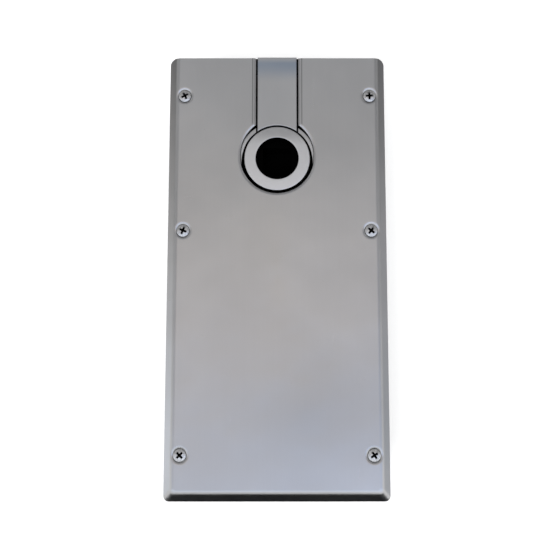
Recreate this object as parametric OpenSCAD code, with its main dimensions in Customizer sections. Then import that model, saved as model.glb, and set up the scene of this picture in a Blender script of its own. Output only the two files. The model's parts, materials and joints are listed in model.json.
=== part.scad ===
// Floor spring door closer: a sunk steel box holds a hydraulic body.
// In the body a heart cam pushes two sprung pistons.
// The origin is on the spindle axis at finished floor level. +Z is up, and the body runs towards -Y.

/* [Cover plate] */
// How far the cover reaches past the box at its bevelled end
cover_front_lap = 10.5; // [9:0.5:20]
// How far the cover reaches past the box at its slotted end
cover_back_lap = 9; // [6:0.5:20]
// Thickness of the cover sheet
sheet_t = 1.5; // [1.2:0.1:2]
// Height of the cover's top face above the floor
cover_h = 5; // [4.5:0.1:7]
// Horizontal run of the bevelled rims
bevel_run = 5.4; // [4.5:0.1:7]
// Gap between the box walls and the cover's side bevels
box_side_gap = 0.5; // [0.3:0.1:3]
// Radius of the cover's corners in plan
cover_corner_r = 4; // [2:0.5:8]
// Width of the open slot in the cover
slot_w = 29.8; // [26:0.1:34]
// Clearance between the hub ring's flange and the round end of the cover's cut-out
cutout_gap = 0.3; // [0.2:0.1:2]
// How far the cut-out's round end is stretched towards the slotted end
cutout_stretch = 2.5; // [0:0.1:5]
// How far the rolled lip of the cut-out hangs below the sheet
lip_drop = 1.3; // [0.5:0.1:1.4]

/* [Slot filler] */
// Gap on each side of the filler strip
filler_gap = 1.2; // [0.6:0.1:2]
// Gap between the strip's hollow end and the hub ring
filler_ring_gap = 0.9; // [0.5:0.1:2]
// How far the strip stands out past the slotted end
filler_proud = 0.7; // [0:0.1:2]
// How far the strip's tab reaches under the cover on each side of the slot
filler_tab_reach = 2.5; // [1:0.1:4]
// Thickness of the strip's tab
filler_tab_t = 0.8; // [0.5:0.1:1.5]

/* [Cover screws] */
// Distance of the screws from the outside of the box walls
screw_wall_inset = 4.2; // [4:0.1:5]
// Distance of the last pair of screws from the back of the box
screw_back_inset = 18.5; // [12:0.5:25]
// Distance of the middle pair of screws from the spindle axis
screw_mid = 51; // [40:1:90]
// Distance of the first pair of screws from the front of the box
screw_front_inset = 19.5; // [12:0.5:40]
// Thread diameter of the cover screws
screw_d = 4; // [3:0.5:4]
// Head diameter of the cover screws
screw_head_d = 8.6; // [8:0.1:9]
// Length of the cover screws under the head
screw_len = 10; // [8:0.5:12]

/* [Cement box] */
// Thickness of the box sheet
box_t = 2; // [1.5:0.1:2.5]
// Room between the body and the side walls of the box
side_room = 10.5; // [10:0.5:20]
// Room between the body and the back wall of the box
back_room = 13.5; // [12:0.5:30]
// Room between the body and the front wall of the box
front_room = 15; // [13:0.5:40]
// Outer corner radius of the box in plan
box_corner_r = 8; // [5:0.5:10]
// Diameter of the anchor holes in the box floor
anchor_d = 8.5; // [6:0.5:9]
// Distance of the anchor holes from the ends of the box
anchor_inset = 60; // [50:1:80]

/* [Closer body] */
// Diameter of the cylinder bores
bore_d = 36; // [34:0.5:38]
// Metal between the two cylinder bores
bore_spacing = 18; // [16:0.5:22]
// Wall of the cylinder barrels
barrel_wall = 6; // [5:0.5:7]
// Metal above and below the cylinder bores
bore_cover = 3; // [2.5:0.5:6]
// Side walls of the cam chamber
chamber_side_wall = 10; // [9:0.5:14]
// End walls of the cam chamber
chamber_end_wall = 7; // [6:0.5:12]
// Thread diameter of the body bolts
bolt_d = 6; // [5:0.5:6]

/* [Lid] */
// Thickness of the lid
lid_t = 4.2; // [3.5:0.1:6]
// Thickness of the lid gasket
gasket_t = 0.8; // [0.5:0.1:1.5]
// Wall of the bearing boss on the lid
boss_wall = 5; // [4:0.5:7]
// Thread diameter of the lid screws
lid_screw_d = 5; // [4:0.5:5]

/* [Spindle] */
// Diameter of the round mouth of the drive socket
drive_bore_d = 29.2; // [28.6:0.1:32]
// Depth of the round mouth below the top of the hub ring
drive_mouth_h = 10; // [8:0.5:14]
// Width of the square drive socket
drive_square = 20; // [16:0.5:20]
// Depth of the square drive socket
drive_square_h = 13; // [10:0.5:15]
// Diameter of the spindle hub
hub_d = 40; // [40:0.5:44]
// Height of the hub ring
ring_h = 6; // [5.6:0.1:8]
// Wall of the hub ring round the spindle hub
ring_wall = 2.65; // [2:0.05:4]
// How far the hub ring's flange reaches past its face
flange_reach = 2.25; // [1.5:0.05:4]
// Depth of the flange's top below the ring's face
ring_step = 3; // [3:0.1:4]
// Diameter of the cam seat on the shaft
shaft_d = 26; // [24:0.5:27]
// Diameter of the lower journal
journal_d = 20; // [18:0.5:22]

/* [Cam and roller] */
// Radius of the cam at the bottom of its notch
cam_notch_r = 17; // [16.5:0.1:20]
// Lift of the cam over its working angle
cam_lift = 20; // [16:0.5:24]
// Working angle of the cam to each side, in degrees
cam_angle = 120; // [110:1:125]
// Thickness of the cam and the roller
cam_t = 10; // [8:0.5:12]
// Diameter of the roller
roller_d = 18; // [17:0.5:20]
// Diameter of the roller pin
pin_d = 8; // [6:0.5:9]
// Running clearance between the cam and the roller
cam_gap = 0.1; // [0.08:0.01:0.2]

/* [Pistons and springs] */
// Length of each piston
piston_l = 40; // [36:0.5:50]
// Radial running clearance of each piston
piston_gap = 0.05; // [0.04:0.01:0.08]
// Length of each cylinder between its piston and its plug, with the door shut
spring_room = 101; // [95:1:130]
// Wire diameter of the springs
wire_d = 5; // [4:0.25:5.5]
// Number of turns of each spring
spring_turns = 9; // [7:1:11]
// Length of the plugs that close the cylinders
plug_l = 16; // [14:0.5:20]

/* [Hidden] */
$fn = 96;
eps = 0.01;
cut = 1; // how far a cutting solid runs past the face it cuts
run_gap = 0.3; // between pieces that pass each other
press_gap = 0.02; // radial, between pieces that are pressed or ground to fit
thread_gap = 0.05; // radial, between a screw and its hole

// Cam: the highest point of its edge sets the room it needs
lift_rate = cam_lift / cam_angle;
pitch_r = cam_notch_r + roller_d / 2;
cam_top_r = norm(cam_point(cam_angle));
chamber_back = ceil(cam_top_r + 3);

// Crosshead, pistons and plugs, from the spindle axis towards the front
roller_y = -pitch_r;
fork_r = pin_d / 2 + 7;
beam_y = roller_y - fork_r - 1;
beam_t = 10;
piston_y = beam_y - beam_t;
piston_back_y = piston_y - piston_l;
plug_y = piston_back_y - spring_room;
body_front = plug_l - plug_y;
chamber_front = cam_lift - piston_y + 4;
block_front = chamber_front + chamber_end_wall + 1;
body_back = chamber_back + chamber_end_wall;

// Widths, from the bores outwards
bore_x = (bore_d + bore_spacing) / 2;
barrel_d = bore_d + 2 * barrel_wall;
chamber_w = 2 * bore_x + bore_d + 2;
beam_w = chamber_w - 10;
body_w = chamber_w + 2 * chamber_side_wall;
box_in_w = body_w + 2 * side_room;
box_w = box_in_w + 2 * box_t;

// Heights, from the cover down to the floor of the box
box_rim_z = cover_h - sheet_t;
ring_z = cover_h - ring_h;
hub_top_z = ring_z + 2;
boss_top_z = ring_z - 2;
boss_rise = 2;
lid_top_z = boss_top_z - boss_rise;
lid_z = lid_top_z - lid_t;
body_top_z = lid_z - gasket_t;
axis_z = body_top_z - bore_cover - bore_d / 2;
body_z = axis_z - bore_d / 2 - bore_cover;
bearing_h = 7;
bearing_section = 6;
lower_z = body_z + bore_cover;
chamber_floor_z = lower_z + bearing_h;
upper_z = body_top_z - bearing_h;
hub_bottom_z = upper_z - 3;
cam_top_z = axis_z + cam_t / 2;
cam_bottom_z = axis_z - cam_t / 2;
bush_h = 3;
box_floor_z = body_z - bush_h;
box_bottom_z = box_floor_z - box_t;

// Box and cover, round the body
box_y0 = -body_front - front_room - box_t;
box_y1 = body_back + back_room + box_t;
bevel_inset = sheet_t / sin(atan2(cover_h, bevel_run));
cover_w = box_w + 2 * (box_side_gap + box_rim_z * bevel_run / cover_h + bevel_inset);
cover_y0 = box_y0 - cover_front_lap;
cover_y1 = box_y1 + cover_back_lap;

// Hub ring and the cut-out round it
ring_d = hub_d + 2 * ring_wall;
ring_flange_d = ring_d + 2 * flange_reach;
ring_pilot = 0.03;
cutout_r = ring_flange_d / 2 + cutout_gap;
cutout_low_y = 0.8;
cutout_high_y = cutout_low_y + cutout_stretch;
filler_w = slot_w - 2 * filler_gap;
bracket_inset = 2;
bracket_y = (hub_d + 2 * bearing_section + 2 * boss_wall) / 2 + 2;

// Cover screws, their dimples and lugs
screw_x = box_w / 2 - screw_wall_inset;
screw_ys = [box_y1 - screw_back_inset, -screw_mid, box_y0 + screw_front_inset];
head_drop = 0.6;
head_rim_z = cover_h - head_drop;
head_cone_h = (screw_head_d - screw_d) / 2;
head_cone_z = head_rim_z - head_cone_h;
head_gap = 0.3;
dome_h = 1.1;
dome_r = (pow(screw_head_d / 2, 2) + dome_h * dome_h) / (2 * dome_h);
recess_w = 0.9;
recess_h = 2.2;
recess_turn = 20;
dimple_wall = 1.2;
dimple_flare = 1;
lug_l = 14;
lug_depth = 8.5;
lug_h = 12.5;

// Anchor holes
anchor_x = (body_w + box_in_w) / 4;
anchor_ys = [box_y1 - anchor_inset, box_y0 + anchor_inset];

// Body bolts and their ears, outside the bores so that the plugs pass
ear_w = 20;
ear_h = 8;
bolt_x = (body_w + barrel_d) / 4 + 10;
ear_back_y = body_back + (back_room - run_gap) / 2;
ear_front_y = -body_front - (front_room - run_gap) / 2;
ear_root = 10;
bolt_head_af = 10;
bolt_head_h = 4;
bolt_end_gap = 0.5;
bolt_hole_d = bolt_d + 1;
washer_t = 1.6;
washer_d = 2 * bolt_d;
bush_d = bolt_d + 7;
bush_spigot_d = bolt_d + 3;

// Lid, its screws and the filler plug
chamber_corner_r = 8;
body_corner_r = 10;
lid_screw_x = (body_w + chamber_w) / 4;
lid_screw_rows = 4;
lid_screw_inset = 10;
lid_screw_grip = 12;
lid_screw_head_d = 1.7 * lid_screw_d;
lid_screw_head_h = 2.8;
lid_key_af = 3.2;
lid_hole_d = lid_screw_d + 0.5;
fill_y = -chamber_front + 12;
fill_d = 8;
fill_head_d = 14;
fill_head_h = 2.5;
fill_key_af = 5;

// Bearings, seal and shaft
upper_od = hub_d + 2 * bearing_section;
lower_od = journal_d + 2 * bearing_section;
upper_balls = 20;
lower_balls = 12;
cage_h = 2;
race_gap = 0.1;
boss_d = upper_od + 2 * boss_wall;
boss_lip = 1;
boss_lip_w = 2.5;
seal_h = 5;
seal_lift = 0.5;
seal_web = 1.5;
collar_d = shaft_d + 2;
spacer_wall = 3;
journal_end_gap = 0.3;
key_w = 6;
key_h = 3;

// Crosshead and roller
fork_t = 4;
fork_reach = cam_t / 2 + run_gap + fork_t;
beam_h = 2 * (axis_z - chamber_floor_z) - 1;
clip_t = 1;
clip_z = fork_reach - clip_t;
pin_groove_d = pin_d - 1;
push_screw_d = 6;
push_screw_head_d = 1.7 * push_screw_d;
push_screw_grip = 14;
push_key_af = push_screw_d;

// Piston rings and check valves
ring_groove = 2.4;
seal_w = 4;
seal_gap = 0.1;
seal_y = piston_back_y + 10;
check_z = axis_z + bore_d / 2 - 5;
check_ball_d = 5;
check_hole_d = 3.2;
check_bore_l = 10;
check_bore_d = check_ball_d + 0.6;
ball_rest_gap = 0.05;
retainer_l = 2;

// Springs and plugs
spring_d = bore_d - 3;
spring_sides = 8;
spring_steps = 20;
spigot_d = spring_d - 2 * wire_d - 2;
spigot_l = 4;
plug_key_af = 14;
plug_key_l = 8;
plug_groove_y = plug_y - 4;
plug_groove_w = 2.6;
plug_groove = 2.15;
cord_d = 1.9;

// Oil ways and regulating valves
web_h = bore_d - 2;
web_top_z = axis_z + web_h / 2;
channel_d = 5;
cross_d = 4;
valve_d = 8;
valve_pitch = 28;
latch_y = seal_y - seal_w - 2 - cross_d / 2;
valve_ys = [latch_y, latch_y - valve_pitch];
valve_top_z = web_top_z - 1;
needle_h = 6;
needle_drop = 1;
needle_tip_d = 1.5;
valve_slot_w = 1.2;
valve_slot_h = 1.6;
valve_groove_z = valve_top_z - 7;
valve_groove_h = 2.2;
valve_groove = 1.3;
valve_cord_d = 1.2;
side_plug_d = 6;
side_plug_l = 4;
end_plug_d = 8;
end_plug_l = 5;
cross_x0 = -bore_x - barrel_d / 2;

// ---- Shapes that repeat ----

// A flat slab with round corners, from z0 to z1, between y0 and y1.
module slab(w, y0, y1, z0, z1, r) {
    translate([0, 0, z0])
        linear_extrude(z1 - z0) {
            translate([-w / 2 + r, y0]) square([w - 2 * r, y1 - y0]);
            translate([-w / 2, y0 + r]) square([w, y1 - y0 - 2 * r]);
            for (x = [-w / 2 + r, w / 2 - r], y = [y0 + r, y1 - r])
                translate([x, y]) circle(r);
        }
}

// A disc or, with a bore, a tube on the Z axis, from z0 to z1.
module tube(d, z0, z1, bore = 0) {
    translate([0, 0, z0])
        difference() {
            cylinder(h = z1 - z0, d = d);
            if (bore > 0) translate([0, 0, -cut]) cylinder(h = z1 - z0 + 2 * cut, d = bore);
        }
}

// A rod along -Y from y0 to y1, where y0 is the higher value.
module rod(d, y0, y1, x = 0, z = axis_z) {
    translate([x, y0, z]) rotate([90, 0, 0]) cylinder(h = y0 - y1, d = d);
}

// A hexagonal socket that points down from z, or along +Y from y with hex_y.
module hex(af, z, depth) {
    translate([0, 0, z - depth]) cylinder(h = depth + cut, d = af / cos(30), $fn = 6);
}

module hex_y(af, y, depth) {
    translate([0, y + depth, axis_z])
        rotate([90, 0, 0]) cylinder(h = depth + cut, d = af / cos(30), $fn = 6);
}

// What a groove of the given floor diameter takes from a rod of diameter d along Y.
module groove_y(d, floor_d, y, w) {
    difference() {
        rod(d + cut, y, y - w);
        rod(floor_d, y + cut, y - w - cut);
    }
}

module at_screws() {
    for (x = [-screw_x, screw_x], y = screw_ys) translate([x, y, 0]) children();
}

module at_bolts() {
    for (x = [-bolt_x, bolt_x], y = [ear_back_y, ear_front_y]) translate([x, y, 0]) children();
}

module at_lid_screws() {
    first = body_back - lid_screw_inset;
    pitch = (body_back + block_front - 2 * lid_screw_inset) / (lid_screw_rows - 1);
    for (x = [-lid_screw_x, lid_screw_x], n = [0:lid_screw_rows - 1])
        translate([x, first - n * pitch, 0]) children();
}

module both_bores() {
    for (side = [-1, 1]) translate([side * bore_x, 0, 0]) children();
}

// A cross recess that points down from z = 0.
module cross_recess(span) {
    for (turn = [0, 90])
        rotate(recess_turn + turn)
            translate([-span / 2, -recess_w / 2, -recess_h]) cube([span, recess_w, recess_h + cut]);
    translate([0, 0, -recess_h - recess_w / 2])
        cylinder(h = recess_h + recess_w / 2 + cut, d = 1.5 * recess_w);
}

// ---- Cover ----

// The cover's solid outline: bevelled on both sides and at the front, cut square at the back.
module cover_form(inset, h, back) {
    run = bevel_run * h / cover_h;
    half = cover_w / 2 - inset;
    y0 = cover_y0 + inset;
    intersection() {
        translate([0, back, 0])
            rotate([90, 0, 0])
                linear_extrude(back - y0)
                    polygon([[-half, 0], [half, 0], [half - run, h], [-half + run, h]]);
        translate([-half, 0, 0])
            rotate([90, 0, 90])
                linear_extrude(2 * half)
                    polygon([[y0, 0], [back, 0], [back, h], [y0 + run, h]]);
    }
}

// The keyhole: a stretched round end and an open slot, grown on all sides by grow.
module keyhole(grow = 0) {
    r = cutout_r + grow;
    for (y = [cutout_low_y, cutout_high_y]) translate([0, y]) circle(r);
    translate([-r, cutout_low_y]) square([2 * r, cutout_high_y - cutout_low_y]);
    translate([-slot_w / 2 - grow, cutout_high_y]) square([slot_w + 2 * grow, cover_y1]);
}

// The outside of the cup that is pressed into the sheet under a screw head, grown by grow.
module dimple_cup(grow = 0) {
    z = head_cone_z - dimple_wall;
    translate([0, 0, z - grow])
        cylinder(h = head_rim_z - z + grow, d1 = screw_d + 2 * dimple_wall,
            d2 = screw_head_d + 4 * dimple_wall + 2 * grow);
}

// The seat that a dimple leaves for its screw, open at the top.
module dimple_seat() {
    rim_d = screw_head_d + 2 * head_gap;
    translate([0, 0, head_cone_z - head_gap])
        cylinder(h = head_cone_h + head_gap, d1 = screw_d, d2 = rim_d);
    translate([0, 0, head_rim_z])
        cylinder(h = head_drop + eps, d1 = rim_d, d2 = rim_d + 2 * dimple_flare);
    tube(screw_d + 2 * head_gap, -cut, cover_h - cut);
}

module cover_plate() {
    color("silver")
        difference() {
            union() {
                intersection() {
                    difference() {
                        cover_form(0, cover_h, cover_y1);
                        translate([0, 0, -eps]) cover_form(bevel_inset, box_rim_z + eps, cover_y1 + cut);
                    }
                    slab(cover_w, cover_y0, cover_y1, 0, cover_h, cover_corner_r);
                }
                intersection() {
                    translate([0, 0, box_rim_z - lip_drop])
                        linear_extrude(lip_drop + sheet_t) keyhole(sheet_t);
                    translate([-cover_w / 2, cover_y0, 0])
                        cube([cover_w, box_y1 - box_t - run_gap - cover_y0, cover_h]);
                }
                at_screws() dimple_cup();
            }
            translate([0, 0, -cut]) linear_extrude(cover_h + 2 * cut) keyhole();
            at_screws() dimple_seat();
        }
}

module cover_screws() {
    color("gainsboro")
        at_screws()
            difference() {
                union() {
                    translate([0, 0, head_cone_z]) cylinder(h = head_cone_h, d1 = screw_d, d2 = screw_head_d);
                    intersection() {
                        translate([0, 0, head_rim_z + dome_h - dome_r]) sphere(dome_r);
                        tube(screw_head_d, head_rim_z, head_rim_z + dome_h + cut);
                    }
                    tube(screw_d, head_cone_z - screw_len, head_cone_z + eps);
                }
                translate([0, 0, head_rim_z + dome_h]) cross_recess(0.56 * screw_head_d);
            }
}

// The strip that fills the open slot, hollowed at one end to follow the hub ring. At the other end
// a tab under it closes the slot behind the box.
module slot_filler() {
    tab_w = slot_w + 2 * filler_tab_reach;
    tab_y = box_y1 + run_gap;
    color("silver")
        difference() {
            union() {
                translate([-filler_w / 2, 0, box_rim_z])
                    cube([filler_w, cover_y1 + filler_proud, sheet_t]);
                translate([-filler_w / 2, tab_y, box_rim_z - filler_tab_t])
                    cube([filler_w, cover_y1 - tab_y, filler_tab_t + eps]);
                translate([-tab_w / 2, tab_y, box_rim_z - filler_tab_t])
                    cube([tab_w, cover_y1 - tab_y, filler_tab_t - press_gap]);
            }
            tube(ring_d + 2 * filler_ring_gap, box_rim_z - cut, cover_h + cut);
        }
}

// A folded channel that stands on the lid and carries the strip.
module filler_bracket() {
    w = filler_w - 2 * bracket_inset;
    l = body_back - 1 - bracket_y;
    h = box_rim_z - lid_top_z;
    color("dimgray")
        translate([0, bracket_y, lid_top_z])
            difference() {
                translate([-w / 2, 0, 0]) cube([w, l, h]);
                translate([-w / 2 + sheet_t, -cut, -cut])
                    cube([w - 2 * sheet_t, l + 2 * cut, h - sheet_t + cut]);
            }
}

// ---- Spindle and cam ----

module hub_ring() {
    color("lightgray")
        difference() {
            union() {
                tube(ring_d, cover_h - ring_step - eps, cover_h);
                tube(ring_flange_d, ring_z, cover_h - ring_step);
            }
            tube(drive_bore_d, ring_z - cut, cover_h + cut);
            tube(hub_d + 2 * ring_pilot, ring_z - cut, hub_top_z);
        }
}

module key_form(gap) {
    translate([shaft_d / 2 - key_h - gap, -key_w / 2 - gap, cam_bottom_z - gap])
        cube([2 * key_h + 2 * gap, key_w + 2 * gap, cam_t + 2 * gap]);
}

module spindle() {
    mouth_z = cover_h - drive_mouth_h;
    color("dimgray")
        difference() {
            union() {
                tube(hub_d, hub_bottom_z, hub_top_z);
                tube(collar_d, cam_top_z, hub_bottom_z + eps);
                tube(shaft_d, cam_bottom_z, cam_top_z + eps);
                tube(journal_d, lower_z + journal_end_gap, cam_bottom_z + eps);
            }
            tube(drive_bore_d, mouth_z, cover_h);
            translate([-drive_square / 2, -drive_square / 2, mouth_z - drive_square_h])
                cube([drive_square, drive_square, drive_square_h + cut]);
            key_form(press_gap);
        }
}

module cam_key() {
    color("slategray") key_form(0);
}

// A point of the cam's edge: the roller's path at angle a, moved in by the roller's radius.
function path_r(a) = pitch_r + lift_rate * a;
function path_slope(a) = atan2(lift_rate * 180 / PI, path_r(a));
function cam_point(a) =
    let (inset = roller_d / 2 + cam_gap, lean = path_slope(a))
    [path_r(a) * cos(a) - inset * cos(a - lean), path_r(a) * sin(a) - inset * sin(a - lean)];
// The pocket at the notch is an arc round the roller at rest.
function pocket_point(t) =
    let (inset = roller_d / 2 + cam_gap)
    [pitch_r - inset * cos(t), inset * sin(t)];

// Half of the heart: the pocket, the flank of steady lift and a round cap, then the same mirrored.
module cam_outline() {
    step = 3;
    pocket_steps = 5;
    cap_steps = 12;
    lean = path_slope(0);
    top = cam_point(cam_angle);
    top_a = atan2(top[1], top[0]);
    pocket = [for (n = [0:pocket_steps - 1]) pocket_point(n * lean / pocket_steps)];
    flank = [for (a = [0:step:cam_angle]) cam_point(a)];
    cap = [
        for (n = [1:cap_steps])
            let (a = top_a + n * (180 - top_a) / cap_steps)
            cam_top_r * [cos(a), sin(a)]
    ];
    half = concat(pocket, flank, cap);
    other = [for (n = [len(half) - 2:-1:1]) [half[n][0], -half[n][1]]];
    polygon(concat(half, other));
}

module heart_cam() {
    color("slategray")
        difference() {
            translate([0, 0, cam_bottom_z])
                rotate(-90) linear_extrude(cam_t) cam_outline();
            tube(shaft_d + 2 * press_gap, cam_bottom_z - cut, cam_top_z + cut);
            key_form(press_gap);
        }
}

module cam_spacer() {
    color("gray")
        tube(journal_d + 2 * spacer_wall, lower_z + bearing_h, cam_bottom_z, journal_d + 2 * press_gap);
}

// ---- Bearings and seal ----

ball_d = 0.6 * bearing_section;
race_reach = 0.65 * ball_d;

// One race, between two diameters, with the track that the balls run in.
module race(d_in, d_out, z, pitch) {
    color("lightsteelblue")
        difference() {
            tube(d_out, z, z + bearing_h, d_in);
            translate([0, 0, z + bearing_h / 2])
                rotate_extrude() translate([pitch / 2, 0]) circle(ball_d / 2 + race_gap);
        }
}

module outer_race(od, z) {
    pitch = od - bearing_section;
    race(pitch + race_reach, od - 2 * press_gap, z, pitch);
}

module inner_race(bore, z) {
    pitch = bore + bearing_section;
    race(bore + 2 * press_gap, pitch - race_reach, z, pitch);
}

// The balls of one bearing and the cage that spaces them.
module ball_ring(bore, z, count) {
    pitch = bore + bearing_section;
    mid_z = z + bearing_h / 2;
    color("lightyellow") {
        for (n = [0:count - 1])
            rotate(n * 360 / count) translate([pitch / 2, 0, mid_z]) sphere(d = ball_d, $fn = 32);
        tube(pitch + ball_d / 2, mid_z - cage_h / 2, mid_z + cage_h / 2, pitch - ball_d / 2);
    }
}

module upper_bearing_outer() { outer_race(upper_od, upper_z); }
module upper_bearing_inner() { inner_race(hub_d, upper_z); }
module upper_bearing_balls() { ball_ring(hub_d, upper_z, upper_balls); }
module lower_bearing_outer() { outer_race(lower_od, lower_z); }
module lower_bearing_inner() { inner_race(journal_d, lower_z); }
module lower_bearing_balls() { ball_ring(journal_d, lower_z, lower_balls); }

module hub_seal() {
    z = body_top_z + seal_lift;
    color("black")
        difference() {
            tube(upper_od - 2 * press_gap, z, z + seal_h, hub_d + 2 * thread_gap);
            tube(upper_od - 4, z - cut, z + seal_h - seal_web, hub_d + 3);
        }
}

// ---- Crosshead, roller and pistons ----

module cam_roller() {
    color("lightsteelblue")
        translate([0, roller_y, 0])
            tube(roller_d, cam_bottom_z, cam_top_z, pin_d + 2 * thread_gap);
}

module roller_pin() {
    color("gray")
        translate([0, roller_y, 0])
            difference() {
                tube(pin_d, axis_z - fork_reach, axis_z + fork_reach);
                for (side = [-1, 1])
                    translate([0, 0, axis_z + side * clip_z])
                        tube(pin_d + cut, -clip_t / 2, clip_t / 2, pin_groove_d);
            }
}

module pin_clips() {
    color("black")
        translate([0, roller_y, axis_z])
            for (side = [-1, 1])
                translate([0, 0, side * clip_z])
                    difference() {
                        tube(pin_d + 2, -clip_t / 2, clip_t / 2, pin_groove_d);
                        translate([0, -1, -clip_t]) cube([pin_d, 2, 2 * clip_t]);
                    }
}

module crosshead() {
    color("gray")
        difference() {
            union() {
                translate([-beam_w / 2, beam_y - beam_t, axis_z - beam_h / 2]) cube([beam_w, beam_t, beam_h]);
                for (z = [axis_z - fork_reach, axis_z + fork_reach - fork_t]) {
                    translate([0, roller_y, 0]) tube(2 * fork_r, z, z + fork_t);
                    translate([-fork_r, beam_y - eps, z]) cube([2 * fork_r, roller_y - beam_y + eps, fork_t]);
                }
            }
            translate([0, roller_y, axis_z]) {
                tube(pin_d + 2 * press_gap, -fork_reach - cut, fork_reach + cut);
                for (side = [-1, 1]) tube(pin_d + 3, side * clip_z - clip_t, side * clip_z + clip_t);
            }
            both_bores() {
                rod(push_screw_d + 4 * thread_gap, beam_y + cut, beam_y - beam_t - cut);
                rod(2 * push_screw_d, beam_y + cut, beam_y - push_screw_d);
            }
        }
}

module crosshead_screws() {
    color("dimgray")
        both_bores()
            difference() {
                union() {
                    rod(push_screw_head_d, beam_y, beam_y - push_screw_d);
                    rod(push_screw_d, beam_y - push_screw_d + eps, piston_y - push_screw_grip);
                }
                hex_y(push_key_af, beam_y - push_screw_d / 2 + cut, push_screw_d / 2);
            }
}

module piston(side) {
    d = bore_d - 2 * piston_gap;
    color("lightgray")
        translate([side * bore_x, 0, 0])
            difference() {
                union() {
                    rod(d, piston_y, piston_back_y);
                    rod(spigot_d, piston_back_y + eps, piston_back_y - spigot_l);
                }
                groove_y(d, d - 2 * ring_groove, seal_y, seal_w);
                rod(push_screw_d + 2 * thread_gap, piston_y + cut, piston_y - push_screw_grip - cut);
                rod(check_hole_d, piston_y + cut, piston_back_y - cut, 0, check_z);
                rod(check_bore_d, piston_y + cut, piston_y - check_bore_l, 0, check_z);
            }
}

module piston_left() { piston(-1); }
module piston_right() { piston(1); }

module piston_rings() {
    floor_d = bore_d - 2 * piston_gap - 2 * ring_groove;
    color("black")
        both_bores()
            difference() {
                rod(bore_d - 2 * press_gap, seal_y - seal_gap, seal_y - seal_w + seal_gap);
                rod(floor_d + 2 * press_gap, seal_y, seal_y - seal_w);
            }
}

module check_balls() {
    color("lightsteelblue")
        both_bores()
            translate([0, piston_y - check_bore_l + check_ball_d / 2 + ball_rest_gap, check_z])
                sphere(d = check_ball_d);
}

module ball_retainers() {
    color("gray")
        both_bores()
            difference() {
                rod(check_bore_d - 2 * press_gap, piston_y, piston_y - retainer_l, 0, check_z);
                rod(check_hole_d, piston_y + cut, piston_y - retainer_l - cut, 0, check_z);
            }
}

// ---- Springs ----

// How far the wire has climbed after a number of turns, with one closed turn at each end.
function coil_rise(turn, height) =
    let (last = spring_turns - 1)
    turn < 1 ? turn * wire_d
    : turn > last ? height - (spring_turns - turn) * wire_d
    : wire_d + (turn - 1) * (height - 2 * wire_d) / (last - 1);

module compression_spring(side) {
    rings = spring_turns * spring_steps;
    coil_r = (spring_d - wire_d) / 2;
    height = spring_room - wire_d - 2 * run_gap;
    start_y = piston_back_y - run_gap - wire_d / 2;
    points = [
        for (n = [0:rings], k = [0:spring_sides - 1])
            let (
                turn = n / spring_steps,
                around = 360 * k / spring_sides,
                out = coil_r + wire_d / 2 * cos(around),
                along = coil_rise(turn, height) + wire_d / 2 * sin(around)
            )
            [side * bore_x + out * cos(360 * turn), start_y - along, axis_z + out * sin(360 * turn)]
    ];
    sleeve = [
        for (n = [0:rings - 1], k = [0:spring_sides - 1])
            let (a = n * spring_sides, b = a + spring_sides, next = (k + 1) % spring_sides)
            [a + k, a + next, b + next, b + k]
    ];
    first_end = [for (k = [spring_sides - 1:-1:0]) k];
    last_end = [for (k = [0:spring_sides - 1]) rings * spring_sides + k];
    color("darkslategray") polyhedron(points, concat(sleeve, [first_end, last_end]));
}

module spring_left() { compression_spring(-1); }
module spring_right() { compression_spring(1); }

// ---- Plugs and valves ----

module cylinder_plugs() {
    color("slategray")
        both_bores()
            difference() {
                union() {
                    rod(bore_d - 2 * thread_gap, plug_y, -body_front);
                    rod(spigot_d, plug_y + spigot_l, plug_y - eps);
                }
                hex_y(plug_key_af, -body_front, plug_key_l);
                groove_y(bore_d, bore_d - 2 * plug_groove, plug_groove_y, plug_groove_w);
            }
}

module plug_seals() {
    color("black")
        both_bores()
            translate([0, plug_groove_y - plug_groove_w / 2, axis_z])
                rotate([90, 0, 0])
                    rotate_extrude() translate([bore_d / 2 - cord_d / 2 - thread_gap, 0]) circle(cord_d / 2);
}

// A needle valve that stands in the web between the barrels, with its slot at the top.
module needle_valve(y) {
    needle_z = axis_z - needle_drop;
    color("goldenrod")
        translate([0, y, 0])
            difference() {
                union() {
                    tube(valve_d - 2 * thread_gap, needle_z + needle_h, valve_top_z);
                    translate([0, 0, needle_z])
                        cylinder(h = needle_h + eps, d1 = needle_tip_d, d2 = cross_d + 1);
                }
                translate([-valve_d, -valve_slot_w / 2, valve_top_z - valve_slot_h])
                    cube([2 * valve_d, valve_slot_w, valve_slot_h + cut]);
                tube(valve_d + cut, valve_groove_z, valve_groove_z + valve_groove_h,
                    valve_d - 2 * valve_groove);
            }
}

module latching_valve() { needle_valve(valve_ys[0]); }
module closing_valve() { needle_valve(valve_ys[1]); }

module valve_seals() {
    z = valve_groove_z + valve_groove_h / 2;
    color("black")
        for (y = valve_ys)
            translate([0, y, z])
                rotate_extrude()
                    translate([(valve_d - valve_cord_d) / 2 - thread_gap, 0])
                        circle(valve_cord_d / 2, $fn = 24);
}

// Grub plugs that close the drilled oil ways.
module channel_plugs() {
    color("slategray") {
        difference() {
            rod(end_plug_d, -body_front + end_plug_l, -body_front);
            hex_y(end_plug_d / 2, -body_front, end_plug_l / 2);
        }
        for (y = valve_ys)
            translate([cross_x0, y, axis_z])
                rotate([0, 90, 0])
                    difference() {
                        cylinder(h = side_plug_l, d = side_plug_d);
                        translate([0, 0, -cut])
                            cylinder(h = side_plug_l / 2 + cut, d = side_plug_d / 2, $fn = 6);
                    }
    }
}

// ---- Body and lid ----

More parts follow.
